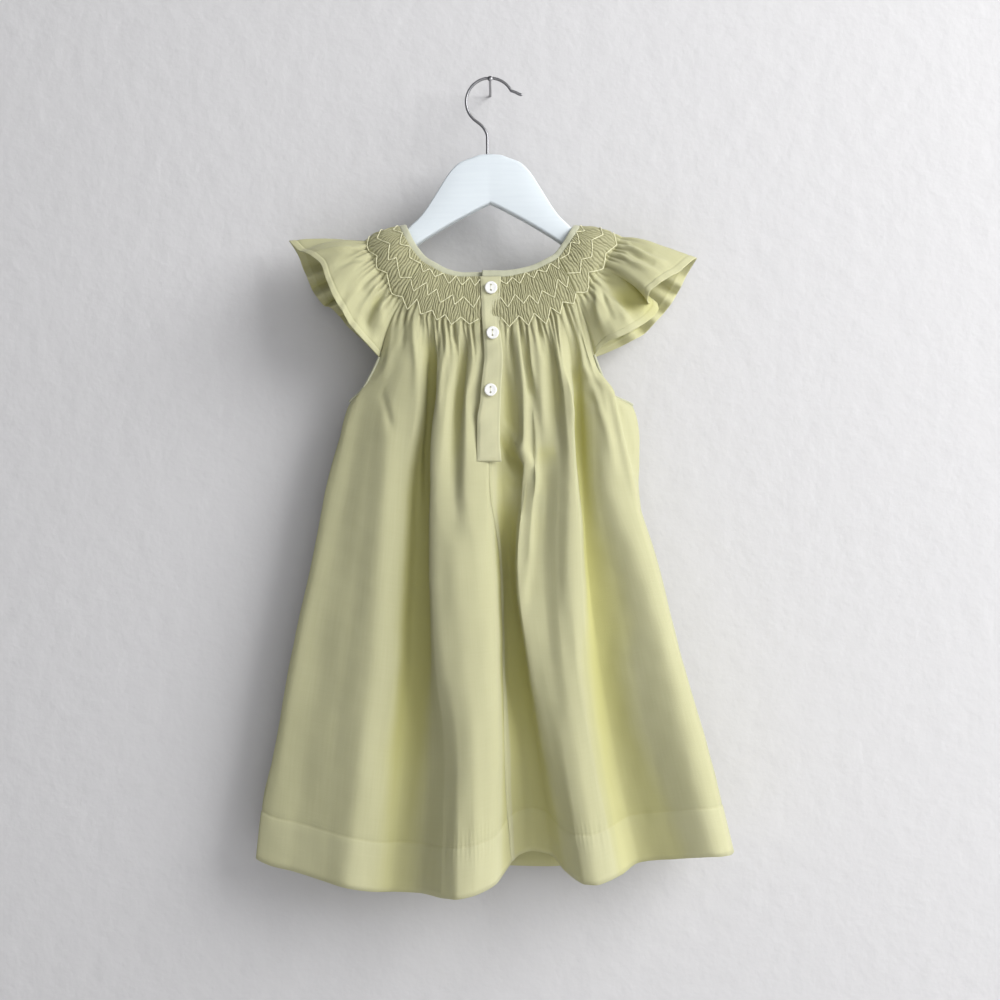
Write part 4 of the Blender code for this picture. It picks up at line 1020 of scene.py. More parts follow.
@dataclass
class BodyPanel(ClothPiece):
    """A back or front panel: its folds hang from the yoke to the hem."""

    folds: Sequence[Fold] = ()
    left_edge: EdgeLine | None = None
    right_edge: EdgeLine | None = None
    facing: Side = Side.BACK
    yoke_fade: float = 0.12

    def __post_init__(self) -> None:
        """Fits a curve down each fold line."""
        super().__post_init__()
        self.starts: list[float] = []
        self.x_lines: list[Curve] = []
        self.proud_lines: list[Curve] = []
        hem: list[float] = []
        if self.left_edge:
            self.add_line(0.0, self.left_edge.x, self.left_edge.proud)
            hem.append(self.left_edge.hem_z)
        for fold in self.folds:
            top = YOKE.point(self.stations(np.array([fold.start])), 1.0)[0]
            cells = fold[1:]
            heights = [-top[2]] + [-z for z in FOLD_HEIGHTS] + [-fold.hem[2]]
            self.add_line(fold.start, Curve(heights, [top[0]] + [cell[0] for cell in cells]),
                          Curve(heights, [abs(top[1])] + [cell[1] for cell in cells]))
            hem.append(fold.hem[2])
        if self.right_edge:
            self.add_line(1.0, self.right_edge.x, self.right_edge.proud)
            hem.append(self.right_edge.hem_z)
        self.hem_z = Curve(self.starts, hem)

    def beside(self, height: Array, after: bool) -> Array:
        """The highest cloth on one side, where the next half goes on past the centre seam.

        Args:
            height: How far out each place lies.
            after: Whether the side with the larger c is meant.

        Returns:
            The greatest height there.
        """
        at_centre = self.right_edge is None if after else self.left_edge is None
        near = super().beside(height, after)
        return np.maximum(near, height.max(axis=1, keepdims=True) * 0.7) if at_centre else near

    def add_line(self, start: float, x_line: Curve, proud_line: Curve) -> None:
        """Adds one fold line or edge.

        Args:
            start: Its place across the yoke's lower edge.
            x_line: Its x over the height turned positive.
            proud_line: How far it stands out over the same.
        """
        self.starts.append(start)
        self.x_lines.append(x_line)
        self.proud_lines.append(proud_line)

    def section(self, t: float) -> tuple[Curve, Curve]:
        """Cuts the skirt at one level.

        Args:
            t: How far down from the yoke to the hem, from 0 to 1.

        Returns:
            x and the proudness as curves over c.
        """
        heights = [-float(self.height(start, t)) for start in self.starts]
        turn = float(smooth((t - self.yoke_fade) / 0.1))
        flat_start = turn if self.left_edge else 0.0
        flat_end = turn if self.right_edge else 0.0
        xs = [float(line(height)) for line, height in zip(self.x_lines, heights)]
        prouds = [float(line(height)) for line, height in zip(self.proud_lines, heights)]
        return Curve(self.starts, xs, flat_start, flat_end), Curve(self.starts, prouds)

    def height(self, c: Array | float, t: float) -> Array:
        """The level's height at places across the panel."""
        top = self.top_z(c)
        return top + (self.hem_z(c) - top) * t

    def below_yoke(self, c: Array, t: float) -> Array:
        """The points of one level of the skirt.

        Args:
            c: The places across.
            t: How far down from the yoke to the hem, from 0 to 1.

        Returns:
            One point for each place.
        """
        across, proud = self.section(t)
        fade = 1.0 - smooth(t / self.yoke_fade)
        start_x, start_proud = self.section(0.0)
        ring = YOKE.point(self.stations(c), 1.0)
        x = across(c) + (ring[:, 0] - start_x(c)) * fade
        y = self.facing.value * (proud(c) + (np.abs(ring[:, 1]) - start_proud(c)) * fade)
        z = self.height(c, t) + (ring[:, 2] - self.top_z(c)) * fade
        return np.stack([x, y, z], axis=-1)


@dataclass
class CapSleeve(ClothPiece):
    """A cap sleeve: smocked to the neck, with a loose flounce over the hanger's arm."""

    hem: Sequence[Ruffle] = ()
    edge: EdgeLine | None = None
    puff: float = 4.0
    axis_z: float = -190.0
    end_fade: float = 0.1
    gather_depth: tuple[float, float] = (1.2, 2.2)
    gather_length: tuple[float, float] = (0.4, 1.3)
    skirt_rows: int = 58
    row_spread: float = 1.0
    hem_row_step: float = 0.01
    hem_row_clear: float = 0.028
    hem_from: float = 0.9
    hem_step: float = 0.3
    hem_rise: float = 0.9
    hem_stitch_depth: float = 0.28
    hem_stitch_width: float = 0.8
    loose_length: float = 55.0

    def __post_init__(self) -> None:
        """Fits the hem's curves."""
        super().__post_init__()
        end = self.edge.point(self.edge.cap_z, Side.FRONT)
        shares = [0.0] + [row.share for row in self.hem] + [1.0]
        self.hem_x = Curve(shares, [end[0]] + [row.x for row in self.hem] + [end[0]])
        self.hem_y = Curve(shares, [-end[1]] + [row.y for row in self.hem] + [end[1]])
        self.hem_z = Curve(shares, [end[2]] + [row.z for row in self.hem] + [end[2]])

    def hem_ripple(self) -> Array:
        """The small ripples of the flounce, growing towards its hem."""
        wave = 0.5 * np.sin(self.c * 88.0 + self.phase) * np.sin(self.c * 23.0 + 1.0)
        return wave * smooth((self.w - 1.6) / 0.4)

    def crease_relief(self, grid: Array) -> Array:
        """The creases of the back half and of the front half, each from its own table.

        Args:
            grid: The smooth face.

        Returns:
            The height at each place.
        """
        x, z = grid[..., 0], grid[..., 2]
        back = 1.0 - smooth((self.c - 0.47) / 0.06)
        return creased(x, z, self.creases) * back + creased(x, z, FRONT_SLEEVE_CREASES) * (1.0 - back)

    def below_yoke(self, c: Array, t: float) -> Array:
        """The points of one level of the flounce.

        Args:
            c: The places across.
            t: How far down from the yoke to the hem, from 0 to 1.

        Returns:
            One point for each place.
        """
        top = YOKE.point(self.stations(c), 1.0)
        end = np.stack([self.hem_x(c), self.hem_y(c), self.hem_z(c)], axis=-1)
        out = unit(np.stack([np.zeros(len(c)), top[:, 1], top[:, 2] - self.axis_z], axis=-1))
        rim = self.edge_fade(c, self.end_fade)
        body = between(top, end, t) + out * (self.puff * math.sin(math.pi * t) * rim)[:, None]
        near = (1.0 - smooth(np.minimum(c, 1.0 - c) / self.end_fade))[:, None]
        for side, half in ((Side.BACK, c < 0.5), (Side.FRONT, c >= 0.5)):
            seam_top = self.edge.point(self.edge.top[2], side)
            seam_end = self.edge.point(self.edge.cap_z, side)
            seam = self.edge.point(seam_top[2] + (seam_end[2] - seam_top[2]) * t, side)
            body = body + np.where(half[:, None], (seam - between(seam_top, seam_end, t)) * near, 0.0)
        return body


@dataclass
class SmockingThread:
    """Three rows of zigzag stitches over one piece's pleats."""

    piece: ClothPiece
    radius: float = 0.44
    lift: float = 1.35
    steps: int = 10

    def build(self, material: bpy.types.Material) -> bpy.types.Object:
        """Makes the three threads as one piece.

        Args:
            material: The thread's finish.

        Returns:
            The piece.
        """
        tubes = []
        for row in self.piece.stitches:
            corners = np.arange(len(row.places))
            share = np.linspace(0.0, corners[-1], self.steps * corners[-1] + 1)
            c = np.interp(share, corners, row.places)
            depth = np.clip(np.interp(share, corners, row.depths), 0.004, 1.2)
            w = self.piece.level(depth)
            out = unit(self.on_face(self.piece.out, c, w))
            stitch = np.abs(np.sin(np.pi * share * 1.5))
            path = self.on_face(self.piece.plain, c, w) + out * (self.lift + 0.3 * stitch)[:, None]
            wide, thick = square_to(path, out)
            radius = self.radius * (0.62 + 0.42 * stitch)
            tubes.append(rings_along(path, wide, thick, radius, radius * 0.8, 6))
        obj = tube_object(self.piece.name + "_smocking_thread", tubes)
        finish_piece(obj, material, Slot.CLOTH)
        return obj

    def on_face(self, values: Array, c: Array, w: Array) -> Array:
        """Reads a grid of vectors at places between its vertices.

        Args:
            values: The grid of the piece.
            c: The places across.
            w: The places down.

        Returns:
            One vector for each place.
        """
        places, levels = self.piece.c[0], self.piece.w[:, 0]
        i = np.interp(w, levels, np.arange(len(levels)))
        j = np.interp(c, places, np.arange(len(places)))
        i0 = np.minimum(i.astype(int), len(levels) - 2)
        j0 = np.minimum(j.astype(int), len(places) - 2)
        u, v = (i - i0)[:, None], (j - j0)[:, None]
        return between(between(values[i0, j0], values[i0, j0 + 1], v),
                       between(values[i0 + 1, j0], values[i0 + 1, j0 + 1], v), u)


@dataclass
class NeckBinding:
    """A bias strip rolled over the neck seam, its right end lapped over its left end."""

    half_width: float = 3.0
    half_thick: float = 1.2
    lap: tuple[float, float] = (-0.55, 0.75)
    sink: float = 0.6
    steps: int = 330
    sides: int = 20
    square: float = 0.72
    lift: tuple[tuple[float, float], ...] = (
        (-0.55, 0.9), (0.6, 0.9), (2.4, -0.3), (6.0, -0.3), (8.0, 0.7), (10.0, -0.3),
        (22.0, -0.3), (24.0, 0.7), (26.0, -0.3), (28.5, -0.3), (30.5, -2.1), (32.75, -2.1),
    )

    def build(self, material: bpy.types.Material) -> bpy.types.Object:
        """Makes the strip.

        Args:
            material: The binding's finish.

        Returns:
            The piece.
        """
        first, last = self.lap
        station = np.linspace(first, RING_STATIONS + last, self.steps + 1)
        neck = YOKE.point(station, 0.0)
        up = unit(neck - YOKE.point(station, 0.12))
        along = YOKE.point(station + 0.1, 0.0) - YOKE.point(station - 0.1, 0.0)
        out = unit(np.cross(up, along))
        wrong = (out[:, 1] * neck[:, 1] < 0.0) & (np.abs(neck[:, 1]) > 1.0)
        out = np.where(wrong[:, None], -out, out)
        lift = Curve(*zip(*self.lift))(station)[:, None]
        path = neck + up * (self.half_width - self.sink) + out * lift
        wide, thick = square_to(path, out)
        pucker = 1.0 + 0.06 * np.sin(station * 11.0) + 0.04 * np.sin(station * 29.0)
        rings = rings_along(path, wide, thick, self.half_width, self.half_thick * pucker, self.sides,
                            self.square)
        obj = tube_object("neck_binding_strip", [rings])
        finish_piece(obj, material, Slot.BINDING, "neck_binding")
        return obj


@dataclass
class ArmholeBinding:
    """A thin bound edge under the arm, from the sleeve's back end to its front end."""

    name: str
    edge: EdgeLine
    cord: float = 1.0
    steps: int = 90
    sides: int = 12
    square: float = 0.85
    smoothings: int = 6

    def build(self, material: bpy.types.Material) -> bpy.types.Object:
        """Makes the bound edge.

        Args:
            material: The binding's finish.

        Returns:
            The piece.
        """
        heights = np.linspace(self.edge.cap_z, self.edge.underarm_z, 61)
        point, _ = evenly(np.concatenate([self.edge.point(heights, Side.BACK),
                                          self.edge.point(heights[::-1][1:], Side.FRONT)]), self.steps)
        for _ in range(self.smoothings):
            point[1:-1] = (point[:-2] + 2.0 * point[1:-1] + point[2:]) / 4.0
        ahead = unit(np.gradient(point, axis=0))
        away = np.array([math.copysign(0.6, self.edge.top[0]), 0.0, 1.0])
        away = unit(away - ahead * (ahead @ away)[:, None])
        path = point + away * self.cord * 0.05
        wide, thick = square_to(path, away)
        rings = rings_along(path, wide, thick, self.cord, self.cord, self.sides, self.square)
        obj = tube_object(self.name + "_strip", [rings])
        finish_piece(obj, material, Slot.BINDING, self.name)
        return obj


@dataclass
class Placket:
    """The buttoned strip over the centre-back slit."""

    left_panel: ClothPiece
    right_panel: ClothPiece
    left: tuple[tuple[float, float], ...] = (
        (-167.0, -7.9), (-188.0, -7.0), (-204.0, -6.2), (-232.0, -4.6), (-256.0, -7.0), (-268.0, -7.9),
        (-284.0, -10.3), (-318.0, -10.5),
    )
    right: tuple[tuple[float, float], ...] = (
        (-167.0, 8.9), (-203.0, 8.0), (-234.0, 10.6), (-262.0, 9.0), (-300.0, 8.2), (-318.0, 9.6),
    )
    flat: tuple[float, float] = (0.022, 0.148)
    wall: float = 0.4
    gap: float = 0.3
    thick: float = 0.95
    near_x: float = 16.0
    near_z: float = -330.0
    lean: float = 1.3
    fall: float = 3.0
    rounding: float = 2.6
    stitched_in: float = 2.1
    stitch_depth: float = 0.12
    rows: int = 110
    columns: int = 26

    def build(self, material: bpy.types.Material) -> bpy.types.Object:
        """Makes the strip, stood out from the panels under it.

        Args:
            material: The cloth's finish.

        Returns:
            The piece.
        """
        z = np.linspace(self.left[0][0], self.left[-1][0], self.rows + 1)[:, None]
        left, right = self.side_line(self.left, z), self.side_line(self.right, z)
        width = right - left
        share = np.linspace(0.0, 1.0, self.columns + 1)[None, :]
        x = left + width * share
        high_left = self.smoothed(self.lowest_y(x, z, 0.0, 0.55))
        high_right = np.minimum(self.smoothed(self.lowest_y(x, z, 0.45, 1.0)), high_left + self.fall)
        under = high_left + (high_right - high_left) * share - self.gap
        above_end = z - z[-1]
        down = np.maximum(np.minimum(z[0] - z, above_end), 0.0)
        rim = np.minimum(np.minimum(share, 1.0 - share) * width, down)
        turn = np.minimum(share * width, down)
        stitches = np.exp(-((rim - self.stitched_in) / 0.45) ** 2)
        dome = self.thick * (0.1 + 0.9 * smooth(turn / self.rounding)) - self.stitch_depth * stitches
        dome = dome - self.gap * (1.0 - smooth(above_end / 8.0))
        dome = dome + self.lean * (0.5 - share) * smooth(above_end / 12.0)
        ripple = (0.5 * np.sin(z * 0.085 + 2.5 * share) + 0.25 * np.sin(z * 0.31 - 4.0 * share)
                  + 0.35 * np.sin(z * 0.16) * (share - 0.5))
        level = np.broadcast_to(z, x.shape)
        self.face = np.stack([x, under - dome - ripple, level], axis=-1)
        uv = np.stack([x * MM + 0.5, -level * MM], axis=-1)
        plain = np.zeros(x.shape)
        # Painted shade along the stitched lines, through the groove mark.
        groove = self.stitch_depth * np.exp(-((rim - self.stitched_in) / 0.4) ** 2)
        obj = grid_object("placket_cloth", self.face, True, uv,
                          {"groove": groove, "smocked": plain, "double": plain + 1.0, "deep": plain})
        thicken(obj, self.wall)
        finish_piece(obj, material, Slot.CLOTH, "placket")
        return obj

    @staticmethod
    def side_line(rows: Sequence[tuple[float, float]], z: Array) -> Array:
        """The x of one side of the strip at heights, from its rows of z and x."""
        return Curve([-row[0] for row in rows], [row[1] for row in rows])(-z)

    def lowest_y(self, x: Array, z: Array, start: float, end: float) -> Array:
        """Finds the most forward point of the panels at each level.

        Args:
            x: The places across the strip at each level.
            z: The levels' heights.
            start: From which share of the strip's width to look.
            end: Up to which share.

        Returns:
            The y at each level.
        """
        found = np.zeros(len(z))
        cloth = np.concatenate([self.left_panel.plain.reshape(-1, 3), self.right_panel.plain.reshape(-1, 3)])
        points = cloth[(np.abs(cloth[:, 0]) < self.near_x) & (cloth[:, 2] > self.near_z)]
        for k, height in enumerate(z[:, 0]):
            width = x[k, -1] - x[k, 0]
            first, last = x[k, 0] + width * start - 1.0, x[k, 0] + width * end + 1.0
            inside = (np.abs(points[:, 2] - height) < 3.0) & (points[:, 0] > first) & (points[:, 0] < last)
            found[k] = points[inside, 1].min()
        return found

    @staticmethod
    def smoothed(values: Array) -> Array:
        """The values with their steps evened out, as a column."""
        wide = np.concatenate([np.full(5, values[0]), values, np.full(5, values[-1])])
        return (np.convolve(wide, np.ones(11) / 11.0, "valid") - 0.3)[:, None]


@dataclass
class Button:
    """A two-hole button, sewn on through its holes."""

    number: int
    x: float
    z: float
    placket: Placket
    radius: float = 5.1
    hole: float = 0.75
    hole_offset: float = 2.1
    thread: float = 0.08
    gap: float = 0.3
    profile: tuple[tuple[float, float], ...] = (
        (0.0, 0.0), (3.6, 0.0), (4.7, -0.25), (5.1, -0.8), (5.1, -1.3), (5.0, -1.65), (4.75, -1.88),
        (4.4, -1.98), (4.0, -1.97), (3.4, -1.88), (1.8, -1.80), (0.0, -1.78),
    )

    def seat(self) -> float:
        """Lays the button against the placket.

        Returns:
            The y of its underside.
        """
        face = self.placket.face.reshape(-1, 3)
        near = np.hypot(face[:, 0] - self.x, face[:, 2] - self.z) < self.radius
        return float(face[near, 1].min()) - self.gap

    def build(self, material: bpy.types.Material, thread: bpy.types.Material) -> bpy.types.Object:
        """Makes the button and its stitches.

        Args:
            material: The button's finish.
            thread: The sewing thread's finish.

        Returns:
            The button.
        """
        blank = mesh_object("button_blank", turned(self.profile, 48))
        bm = bmesh.new()
        for side in (-1.0, 1.0):
            made = bmesh.ops.create_cone(bm, cap_ends=True, segments=20, radius1=self.hole * MM,
                                         radius2=self.hole * MM, depth=10.0 * MM)["verts"]
            bmesh.ops.rotate(bm, verts=made, cent=(0, 0, 0), matrix=Matrix.Rotation(math.pi / 2, 3, "X"))
            bmesh.ops.translate(bm, verts=made, vec=(0, 0, side * self.hole_offset * MM))
        drill = mesh_object("button_drill", bm)
        cut = blank.modifiers.new("holes", "BOOLEAN")
        cut.object, cut.operation = drill, "DIFFERENCE"
        bpy.context.view_layer.update()
        mesh = bpy.data.meshes.new_from_object(blank.evaluated_get(bpy.context.evaluated_depsgraph_get()))
        for unused in (blank, drill):
            bpy.data.objects.remove(unused)
        obj = linked(f"button_{self.number}_disc", mesh)
        mesh.transform(Matrix.Translation(Vector((self.x, self.seat(), self.z)) * MM))
        mesh.set_sharp_from_angle(angle=math.radians(50))
        mesh.materials.clear()
        finish_piece(obj, material, Slot.BUTTON, f"button_{self.number}")
        self.sew(thread)
        return obj

    def sew(self, thread: bpy.types.Material) -> None:
        """Adds the stitches from hole to hole.

        Args:
            thread: The sewing thread's finish.
        """
        tubes = []
        for lean in (-0.1, 0.1):
            u = np.linspace(-1.0, 1.0, 13)
            path = np.stack([self.x + lean + 0.08 * u, self.seat() - 0.4 - 1.45 * (1.0 - u ** 8),
                             self.z + u * (self.hole_offset - 0.15)], axis=-1)
            wide, thick = square_to(path, np.broadcast_to([0.0, -1.0, 0.0], path.shape))
            tubes.append(rings_along(path, wide, thick, self.thread, self.thread, 6))
        finish_piece(tube_object(f"button_{self.number}_stitches", tubes), thread, Slot.BUTTON)


# ---------------------------------------------------------------- the hanger
class Arm(NamedTuple):
    """One section of the hanger's arm."""

    x: float
    top: float
    bottom: float
    half_thick: float


HANGER_ARM = (
    Arm(0.0, -62.8, -103.5, 5.5), Arm(8.0, -63.2, -107.2, 5.5), Arm(15.0, -65.6, -110.8, 5.5),
    Arm(24.5, -69.3, -115.8, 5.5), Arm(30.5, -74.3, -119.2, 5.5), Arm(36.0, -81.4, -122.3, 5.5),
    Arm(41.0, -89.4, -125.3, 5.5), Arm(46.5, -98.3, -128.6, 5.5), Arm(52.5, -107.6, -132.4, 5.5),
    Arm(58.5, -115.2, -136.6, 5.5), Arm(65.0, -121.2, -141.0, 5.4), Arm(71.0, -127.4, -144.6, 5.2),
    Arm(79.0, -132.4, -148.6, 5.1), Arm(91.0, -137.0, -153.4, 4.9), Arm(105.0, -142.6, -157.4, 4.7),
    Arm(118.0, -146.5, -160.6, 4.5), Arm(126.0, -149.5, -161.6, 4.2), Arm(129.0, -152.4, -160.0, 3.0),
)


@dataclass
class Hanger:
    """The painted wooden body and its wire hook."""

    edge_round: float = 2.6
    corner_points: int = 6
    sections: int = 150
    wire: float = 1.2
    bend: float = 19.8
    shank_x: float = -2.2
    foot_z: float = -62.5
    shank_top_z: float = -48.0
    bend_start: float = 236.0
    bend_end: float = 28.0
    tip: tuple[tuple[float, float], ...] = ((21.2, -10.6), (24.2, -12.2), (27.0, -13.0))

    def build_body(self, material: bpy.types.Material) -> bpy.types.Object:
        """Makes the wooden body.

        Args:
            material: The paint.

        Returns:
            The piece.
        """
        at = [arm.x for arm in HANGER_ARM]
        top = Curve(at, [arm.top for arm in HANGER_ARM], flat_start=1.0)
        bottom = Curve(at, [arm.bottom for arm in HANGER_ARM])
        half = Curve(at, [arm.half_thick for arm in HANGER_ARM], flat_start=1.0)
        share = np.linspace(-1.0, 1.0, self.sections + 1)
        x = share * HANGER_ARM[-1].x
        high, low, deep = top(np.abs(x)), bottom(np.abs(x)), half(np.abs(x))
        rings = []
        for k in range(len(x)):
            middle, reach = (high[k] + low[k]) / 2.0, (high[k] - low[k]) / 2.0
            edge = min(self.edge_round, deep[k] * 0.8, reach)
            ring = []
            for corner, (side, rise) in enumerate(((1, 1), (-1, 1), (-1, -1), (1, -1))):
                for n in range(self.corner_points):
                    turn = math.pi / 2.0 * (corner + n / (self.corner_points - 1))
                    ring.append((x[k], side * (deep[k] - edge) + edge * math.cos(turn),
                                 middle + rise * (reach - edge) + edge * math.sin(turn)))
            rings.append(ring)
        obj = tube_object("hanger_wood", [np.array(rings)])
        obj.data.set_sharp_from_angle(angle=math.radians(60))
        finish_piece(obj, material, Slot.PAINT, "hanger_body")
        return obj

    def build_hook(self, material: bpy.types.Material) -> bpy.types.Object:
        """Makes the wire hook.

        Args:
            material: The steel.

        Returns:
            The piece.
        """
        turn = np.radians(np.linspace(self.bend_start, self.bend_end, 90))
        bend = np.stack([self.bend * np.cos(turn), np.zeros(len(turn)),
                         self.wire - self.bend + self.bend * np.sin(turn)], axis=-1)
        foot = np.array([self.shank_x, 0.0, self.foot_z])
        top = np.array([self.shank_x, 0.0, self.shank_top_z])
        reach = np.linalg.norm(top - bend[0])
        leave = unit(bend[1] - bend[0])
        u = np.linspace(0.0, 1.0, 22)[1:-1, None]
        curve = between(top + np.array([0.0, 0.0, 0.5 * reach]) * u,
                        bend[0] - leave * 0.5 * reach * (1.0 - u), smooth(u))
        shank = between(foot, top, np.linspace(0.0, 1.0, 6)[:, None])
        ends = np.array([[x, 0.0, z] for x, z in self.tip])
        path, even = evenly(np.concatenate([shank, curve, bend, ends]), 180)
        wide, thick = square_to(path, np.broadcast_to([0.0, 1.0, 0.0], path.shape))
        from_round = 1.0 - np.clip((even[-1] - even) / self.wire, 0.0, 1.0)
        radius = self.wire * np.sqrt(np.clip(1.0 - from_round ** 2, 0.03, 1.0))
        obj = tube_object("hook_wire", [rings_along(path, wide, thick, radius, radius, 20)])
        finish_piece(obj, material, Slot.STEEL, "hanger_hook")
        return obj


# ---------------------------------------------------------------- finishes
class Value:
    """A number socket of a material, which takes part in Python sums."""

    def __init__(self, maker: "FinishMaker", socket: bpy.types.NodeSocket) -> None:
        """Keeps the socket and the maker that adds nodes beside it."""
        self.maker = maker
        self.socket = socket

    def _sum(self, operation: str, first: "Value | float", second: "Value | float") -> "Value":
        """Adds one Math node."""
        node = self.maker.add("ShaderNodeMath", {"operation": operation}, {0: first, 1: second})
        return Value(self.maker, node.outputs[0])

    def __add__(self, other: "Value | float") -> "Value":
        """self + other."""
        return self._sum("ADD", self, other)

    __radd__ = __add__

    def __sub__(self, other: "Value | float") -> "Value":
        """self - other."""
        return self._sum("SUBTRACT", self, other)

    def __rsub__(self, other: float) -> "Value":
        """other - self."""
        return self._sum("SUBTRACT", other, self)

    def __mul__(self, other: "Value | float") -> "Value":
        """self * other."""
        return self._sum("MULTIPLY", self, other)

    __rmul__ = __mul__

    def sine(self) -> "Value":
        """The sine of self."""
        return self._sum("SINE", self, 0.0)


class FinishMaker:
    """Adds the nodes of one material."""

    def __init__(self, name: str) -> None:
        """Starts a material with no nodes but its output.

        Args:
            name: The material's name.
        """
        self.material = bpy.data.materials.new(name)
        self.material.use_nodes = True
        self.tree = self.material.node_tree
        self.tree.nodes.clear()
        self.output = self.tree.nodes.new("ShaderNodeOutputMaterial")

    def add(self, kind: str, settings: dict[str, object] | None = None,
            inputs: dict[str | int, object] | None = None) -> bpy.types.Node:
        """Adds one node.

        Args:
            kind: The node's type.
            settings: Its own settings.
            inputs: What each socket is set to or linked from.

        Returns:
            The node.
        """
        node = self.tree.nodes.new(kind)
        for key, value in (settings or {}).items():
            setattr(node, key, value)
        for key, value in (inputs or {}).items():
            socket = node.inputs[key]
            if isinstance(value, Value):
                self.tree.links.new(value.socket, socket)
            elif isinstance(value, bpy.types.NodeSocket):
                self.tree.links.new(value, socket)
            else:
                socket.default_value = value
        return node

    def value(self, node: bpy.types.Node, name: str | int = 0) -> Value:
        """One of a node's outputs as a number."""
        return Value(self, node.outputs[name])

    def place(self) -> bpy.types.NodeSocket:
        """The places on the object."""
        return self.add("ShaderNodeTexCoord").outputs["Object"]

    def noise(self, vector: bpy.types.NodeSocket, scale: float | tuple[float, float, float],
              detail: float) -> Value:
        """Adds a noise texture.

        Args:
            vector: The coordinates that it reads.
            scale: How fine it is, one number or one along each axis.
            detail: How many finer layers it has.

        Returns:
            Its height, from 0 to 1.
        """
        if isinstance(scale, tuple):
            drawn = self.add("ShaderNodeMapping", {"vector_type": "POINT"},
                             {"Vector": vector, "Scale": scale})
            vector, scale = drawn.outputs[0], 1.0
        node = self.add("ShaderNodeTexNoise", None, {"Vector": vector, "Scale": scale, "Detail": detail})
        return self.value(node)

    def mix(self, factor: Value, low: object, high: object) -> bpy.types.NodeSocket:
        """A colour between two colours."""
        node = self.add("ShaderNodeMix", {"data_type": "RGBA"}, {0: factor, 6: low, 7: high})
        return node.outputs[2]

    def bump(self, height: Value, distance: float, strength: float = 1.0) -> bpy.types.NodeSocket:
        """A bump from a height."""
        node = self.add("ShaderNodeBump", None,
                        {"Height": height, "Distance": distance, "Strength": strength})
        return node.outputs[0]

    def principled(self, inputs: dict[str | int, object]) -> bpy.types.Node:
        """The main shader, with its sockets set."""
        return self.add("ShaderNodeBsdfPrincipled", None, inputs)

    def blend(self, factor: Value, first: bpy.types.Node, second: bpy.types.Node) -> bpy.types.Node:
        """A mix of two shaders."""
        return self.add("ShaderNodeMixShader", None,
                        {0: factor, 1: first.outputs[0], 2: second.outputs[0]})

    def close(self, shader: bpy.types.Node) -> bpy.types.Material:
        """Links the last shader to the output."""
        self.tree.links.new(shader.outputs[0], self.output.inputs["Surface"])
        return self.material


@dataclass(frozen=True)
class Finish:
    """What every finish has: its name and its colour."""

    name: str
    colour: Colour

    def build(self) -> bpy.types.Material:
        """Makes the material."""
        make = FinishMaker(self.name)
        return make.close(self.surface(make))

    def surface(self, make: FinishMaker) -> bpy.types.Node:
        """The shader, from the maker of its nodes."""
        raise NotImplementedError


@dataclass(frozen=True)
class ClothFinish(Finish):
    """Fine slubby plain weave, with light coming through it where it is single."""

    name: str = "sage_cotton"
    colour: Colour = (0.72, 0.71, 0.455, 1.0)
    dark: Colour = (0.58, 0.57, 0.34, 1.0)
    doubled: Colour = (0.84, 0.83, 0.60, 1.0)
    # Painted shade: the darker, more saturated colour laid into deep folds by the deep mark.
    fold: Colour = (0.62, 0.60, 0.21, 1.0)
    # Painted shade: the dark colour laid into the pleats' grooves, the gathers' furrows and the placket's
    # stitched lines, and faintly over the smocked part.
    groove: Colour = (0.20, 0.18, 0.10, 1.0)
    glow: Colour = (0.68, 0.65, 0.16, 1.0)
    through: float = 0.27
    yarns: float = 2200.0

    def surface(self, make: FinishMaker) -> bpy.types.Node:
        """Streaked yarns, with painted shade in folds and grooves, over a glow.

        Args:
            make: The maker of the nodes.

        Returns:
            The shader.
        """
        flat = make.add("ShaderNodeUVMap", {"uv_map": "cloth"}).outputs[0]
        split = make.add("ShaderNodeSeparateXYZ", None, {0: flat})
        across, down = make.value(split, 0), make.value(split, 1)
        groove, smocked, double, deep = (
            make.value(make.add("ShaderNodeAttribute", {"attribute_name": mark}), "Fac")
            for mark in ("groove", "smocked", "double", "deep"))
        warp = make.noise(flat, (900.0, 22.0, 1.0), 3.0)
        weft = make.noise(flat, (26.0, 700.0, 1.0), 3.0)
        streak = warp * 0.5 + weft * 0.28 + make.noise(flat, 14.0, 3.0) * 0.22
        colour = make.mix(streak, self.dark, self.colour)
        # Painted shade in deep folds, by the deep mark.
        colour = make.mix(deep * 0.75, colour, self.fold)
        colour = make.mix(double * 0.35, colour, self.doubled)
        # Painted shade in the grooves and furrows and over the smocked part.
        colour = make.mix(groove * 0.95 + smocked * 0.16, colour, self.groove)
        turns = self.yarns * 2.0 * math.pi
        weave = (across * turns).sine() * (down * turns).sine()
        bump = make.bump(weave * 0.25 + warp * 0.5 + weft * 0.5, 0.00016, 0.7)
        cloth = make.principled({"Base Color": colour, "Roughness": 0.88, "Normal": bump,
                                 "Sheen Weight": 0.2, "Sheen Roughness": 0.5, "Specular IOR Level": 0.2})
        glow = make.add("ShaderNodeBsdfTranslucent", None, {"Color": self.glow, "Normal": bump})
        return make.blend((1.0 - double * 0.05) * self.through, cloth, glow)


